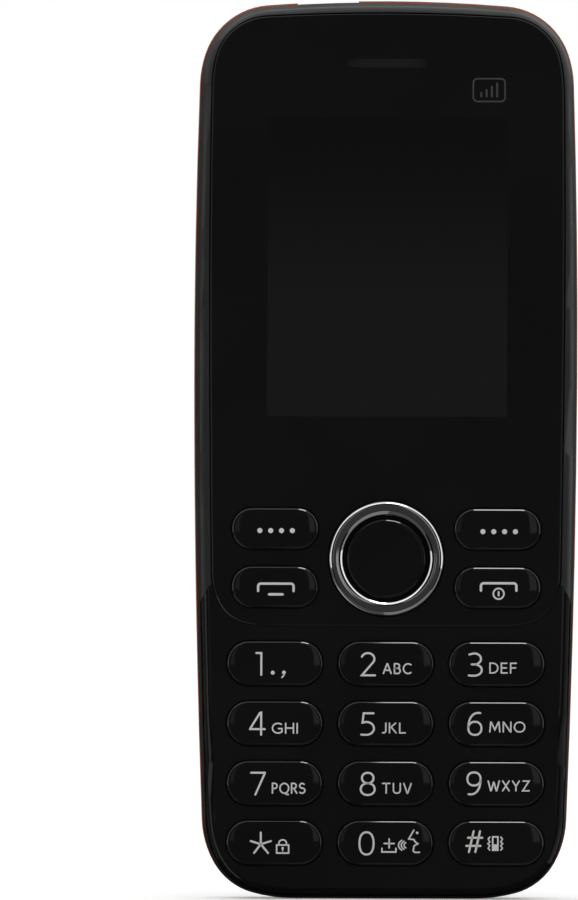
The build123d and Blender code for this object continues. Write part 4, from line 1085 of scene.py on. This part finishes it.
def across(name, centre, aim, wide, painted_top_highlight, radiance, tint=(1.0, 1.0, 1.0)):
    """A soft box given by its brightness instead of its power."""
    return panel(name, centre, aim, wide, painted_top_highlight, radiance * math.pi * wide * painted_top_highlight, tint)


def level(name, x0, x1, y0, y1, z, radiance, down=True):
    """A level soft box over or under the phone."""
    x, y = (x0 + x1) / 2, (y0 + y1) / 2
    lamp = across(name, (x, y, z), (x, y, z - 1.0), x1 - x0, y1 - y0, radiance)
    lamp.rotation_euler = (0.0, 0.0, 0.0) if down else (math.pi, 0.0, 0.0)
    return lamp


def side(name, x, z0, z1, radiance):
    """An upright soft box left or right of the phone."""
    y, z = (NEAR + AWAY) / 2, (z0 + z1) / 2
    return across(name, (x, y, z), (0.0, y, z), AWAY - NEAR, z1 - z0, radiance)


def only_for(lamp, name, pieces, leave_out=False):
    """The lamp shines on these pieces alone, or on all but these."""
    group = bpy.data.collections.new(name)
    for piece in pieces:
        group.objects.link(piece)
    if leave_out:
        for entry in group.collection_objects:
            entry.light_linking.link_state = "EXCLUDE"
    lamp.light_linking.receiver_collection = group


GLOSS_PIECES = [o for o in bpy.data.objects if o.name.startswith("cap_") or o.name == "confirm_cap"]
only_for(level("strip_over_keys", 0.0038, 0.052, -0.10, 0.085, 0.165, 12.0), "lit_keys", GLOSS_PIECES)
only_for(level("strip_over_ring", 0.0038, 0.052, -0.06, 0.085, 0.165, 2.6), "lit_ring", [ring])
level("ceiling", -SIDE, SIDE, NEAR, AWAY, TOP, 1.1)
only_for(side("wall_right", SIDE, -0.09, TOP, 1.1), "wall_right_off", [NODES["keypad_fascia"], NODES["front_housing"]], True)
only_for(side("wall_left", -SIDE, -0.09, TOP, 0.9), "wall_left_off", [NODES["keypad_fascia"], NODES["front_housing"]], True)
only_for(side("wall_right_shell", SIDE, -0.09, TOP, 0.66), "lit_shell_right", [NODES["front_housing"]])
only_for(side("wall_left_shell", -SIDE, -0.09, TOP, 0.38), "lit_shell_left", [NODES["front_housing"]])
only_for(side("wall_right_dim", SIDE, -0.09, TOP, 0.16), "wall_right_dimmed", [NODES["keypad_fascia"]])
only_for(side("wall_left_dim", -SIDE, -0.09, TOP, 0.10), "wall_left_dimmed", [NODES["keypad_fascia"]])
side("low_right", SIDE, LOW, -0.09, 0.24)
side("low_left", -SIDE, LOW, -0.09, 0.08)
across("behind_right", (0.34, 0.95, 0.40), (0.0, 0.0, 0.09), 0.40, 0.50, 0.5)
across("behind_left", (-0.34, 0.95, 0.40), (0.0, 0.0, 0.09), 0.40, 0.50, 0.2)
across("front_left", (-0.30, -0.90, 0.36), (0.0, 0.0, 0.05), 0.16, 0.76, 0.16)
across("front_right", (0.31, -0.90, 0.36), (0.0, 0.0, 0.05), 0.20, 0.76, 0.28)
only_for(level("below_right", 0.0, SIDE, -0.90, 0.30, LOW, 0.20, False), "below_right_off", [NODES["keypad_fascia"]], True)
only_for(level("below_left", -SIDE, 0.0, -0.90, 0.30, LOW, 0.07, False), "below_left_off", [NODES["keypad_fascia"]], True)
only_for(across("glow_low_left", (-0.34, -0.10, -0.36), (0.0, 0.0, 0.04), 0.42, 0.60, 1.7), "lit_window", [NODES["display_window"]])
for name, radiance, pieces in (("sheen_front", 0.55, [NODES["display_window"], NODES["keypad_fascia"]]), ("sheen_keys", 0.38, GLOSS_PIECES)):
    sheen = across(name, (-0.782, -0.506, -0.343), (0.0, 0.0, 0.08), 0.40, 1.10, radiance)
    sheen.rotation_euler.rotate_axis("Z", math.radians(15.0))
    only_for(sheen, "lit_" + name, pieces)
only_for(across("front_haze", (0.0, -3.2, 0.4), (0.0, 0.0, 0.06), 4.5, 3.5, 0.05), "haze_off", [ring], True)
only_for(across("front_haze_ring", (0.0, -3.2, 0.4), (0.0, 0.0, 0.06), 4.5, 3.5, 0.035), "haze_ring", [ring])

camera_data = bpy.data.cameras.new("photo_camera")
camera = bpy.data.objects.new("photo_camera", camera_data)
bpy.context.scene.collection.objects.link(camera)
view_height = 900.0 / PX * 0.001
camera_data.sensor_width = 36.0
camera_data.lens = 36.0 * FAR / view_height
camera_data.clip_start, camera_data.clip_end = 0.05, 20.0
aim = Vector(place(AIM_X, FRONT_D, AIM_Z))
ahead = Vector((math.sin(YAW), math.cos(YAW), 0.0))
camera.location = aim - ahead * FAR
camera.rotation_mode = "QUATERNION"
camera.rotation_quaternion = ahead.to_track_quat("-Z", "Y") @ Matrix.Rotation(ROLL, 3, "Z").to_quaternion()
bpy.context.scene.camera = camera

bpy.context.scene.view_settings.view_transform = "Standard"
bpy.context.scene.view_settings.look = "None"
bpy.context.scene.view_settings.exposure = 0.0
bpy.context.scene.view_settings.gamma = 1.0
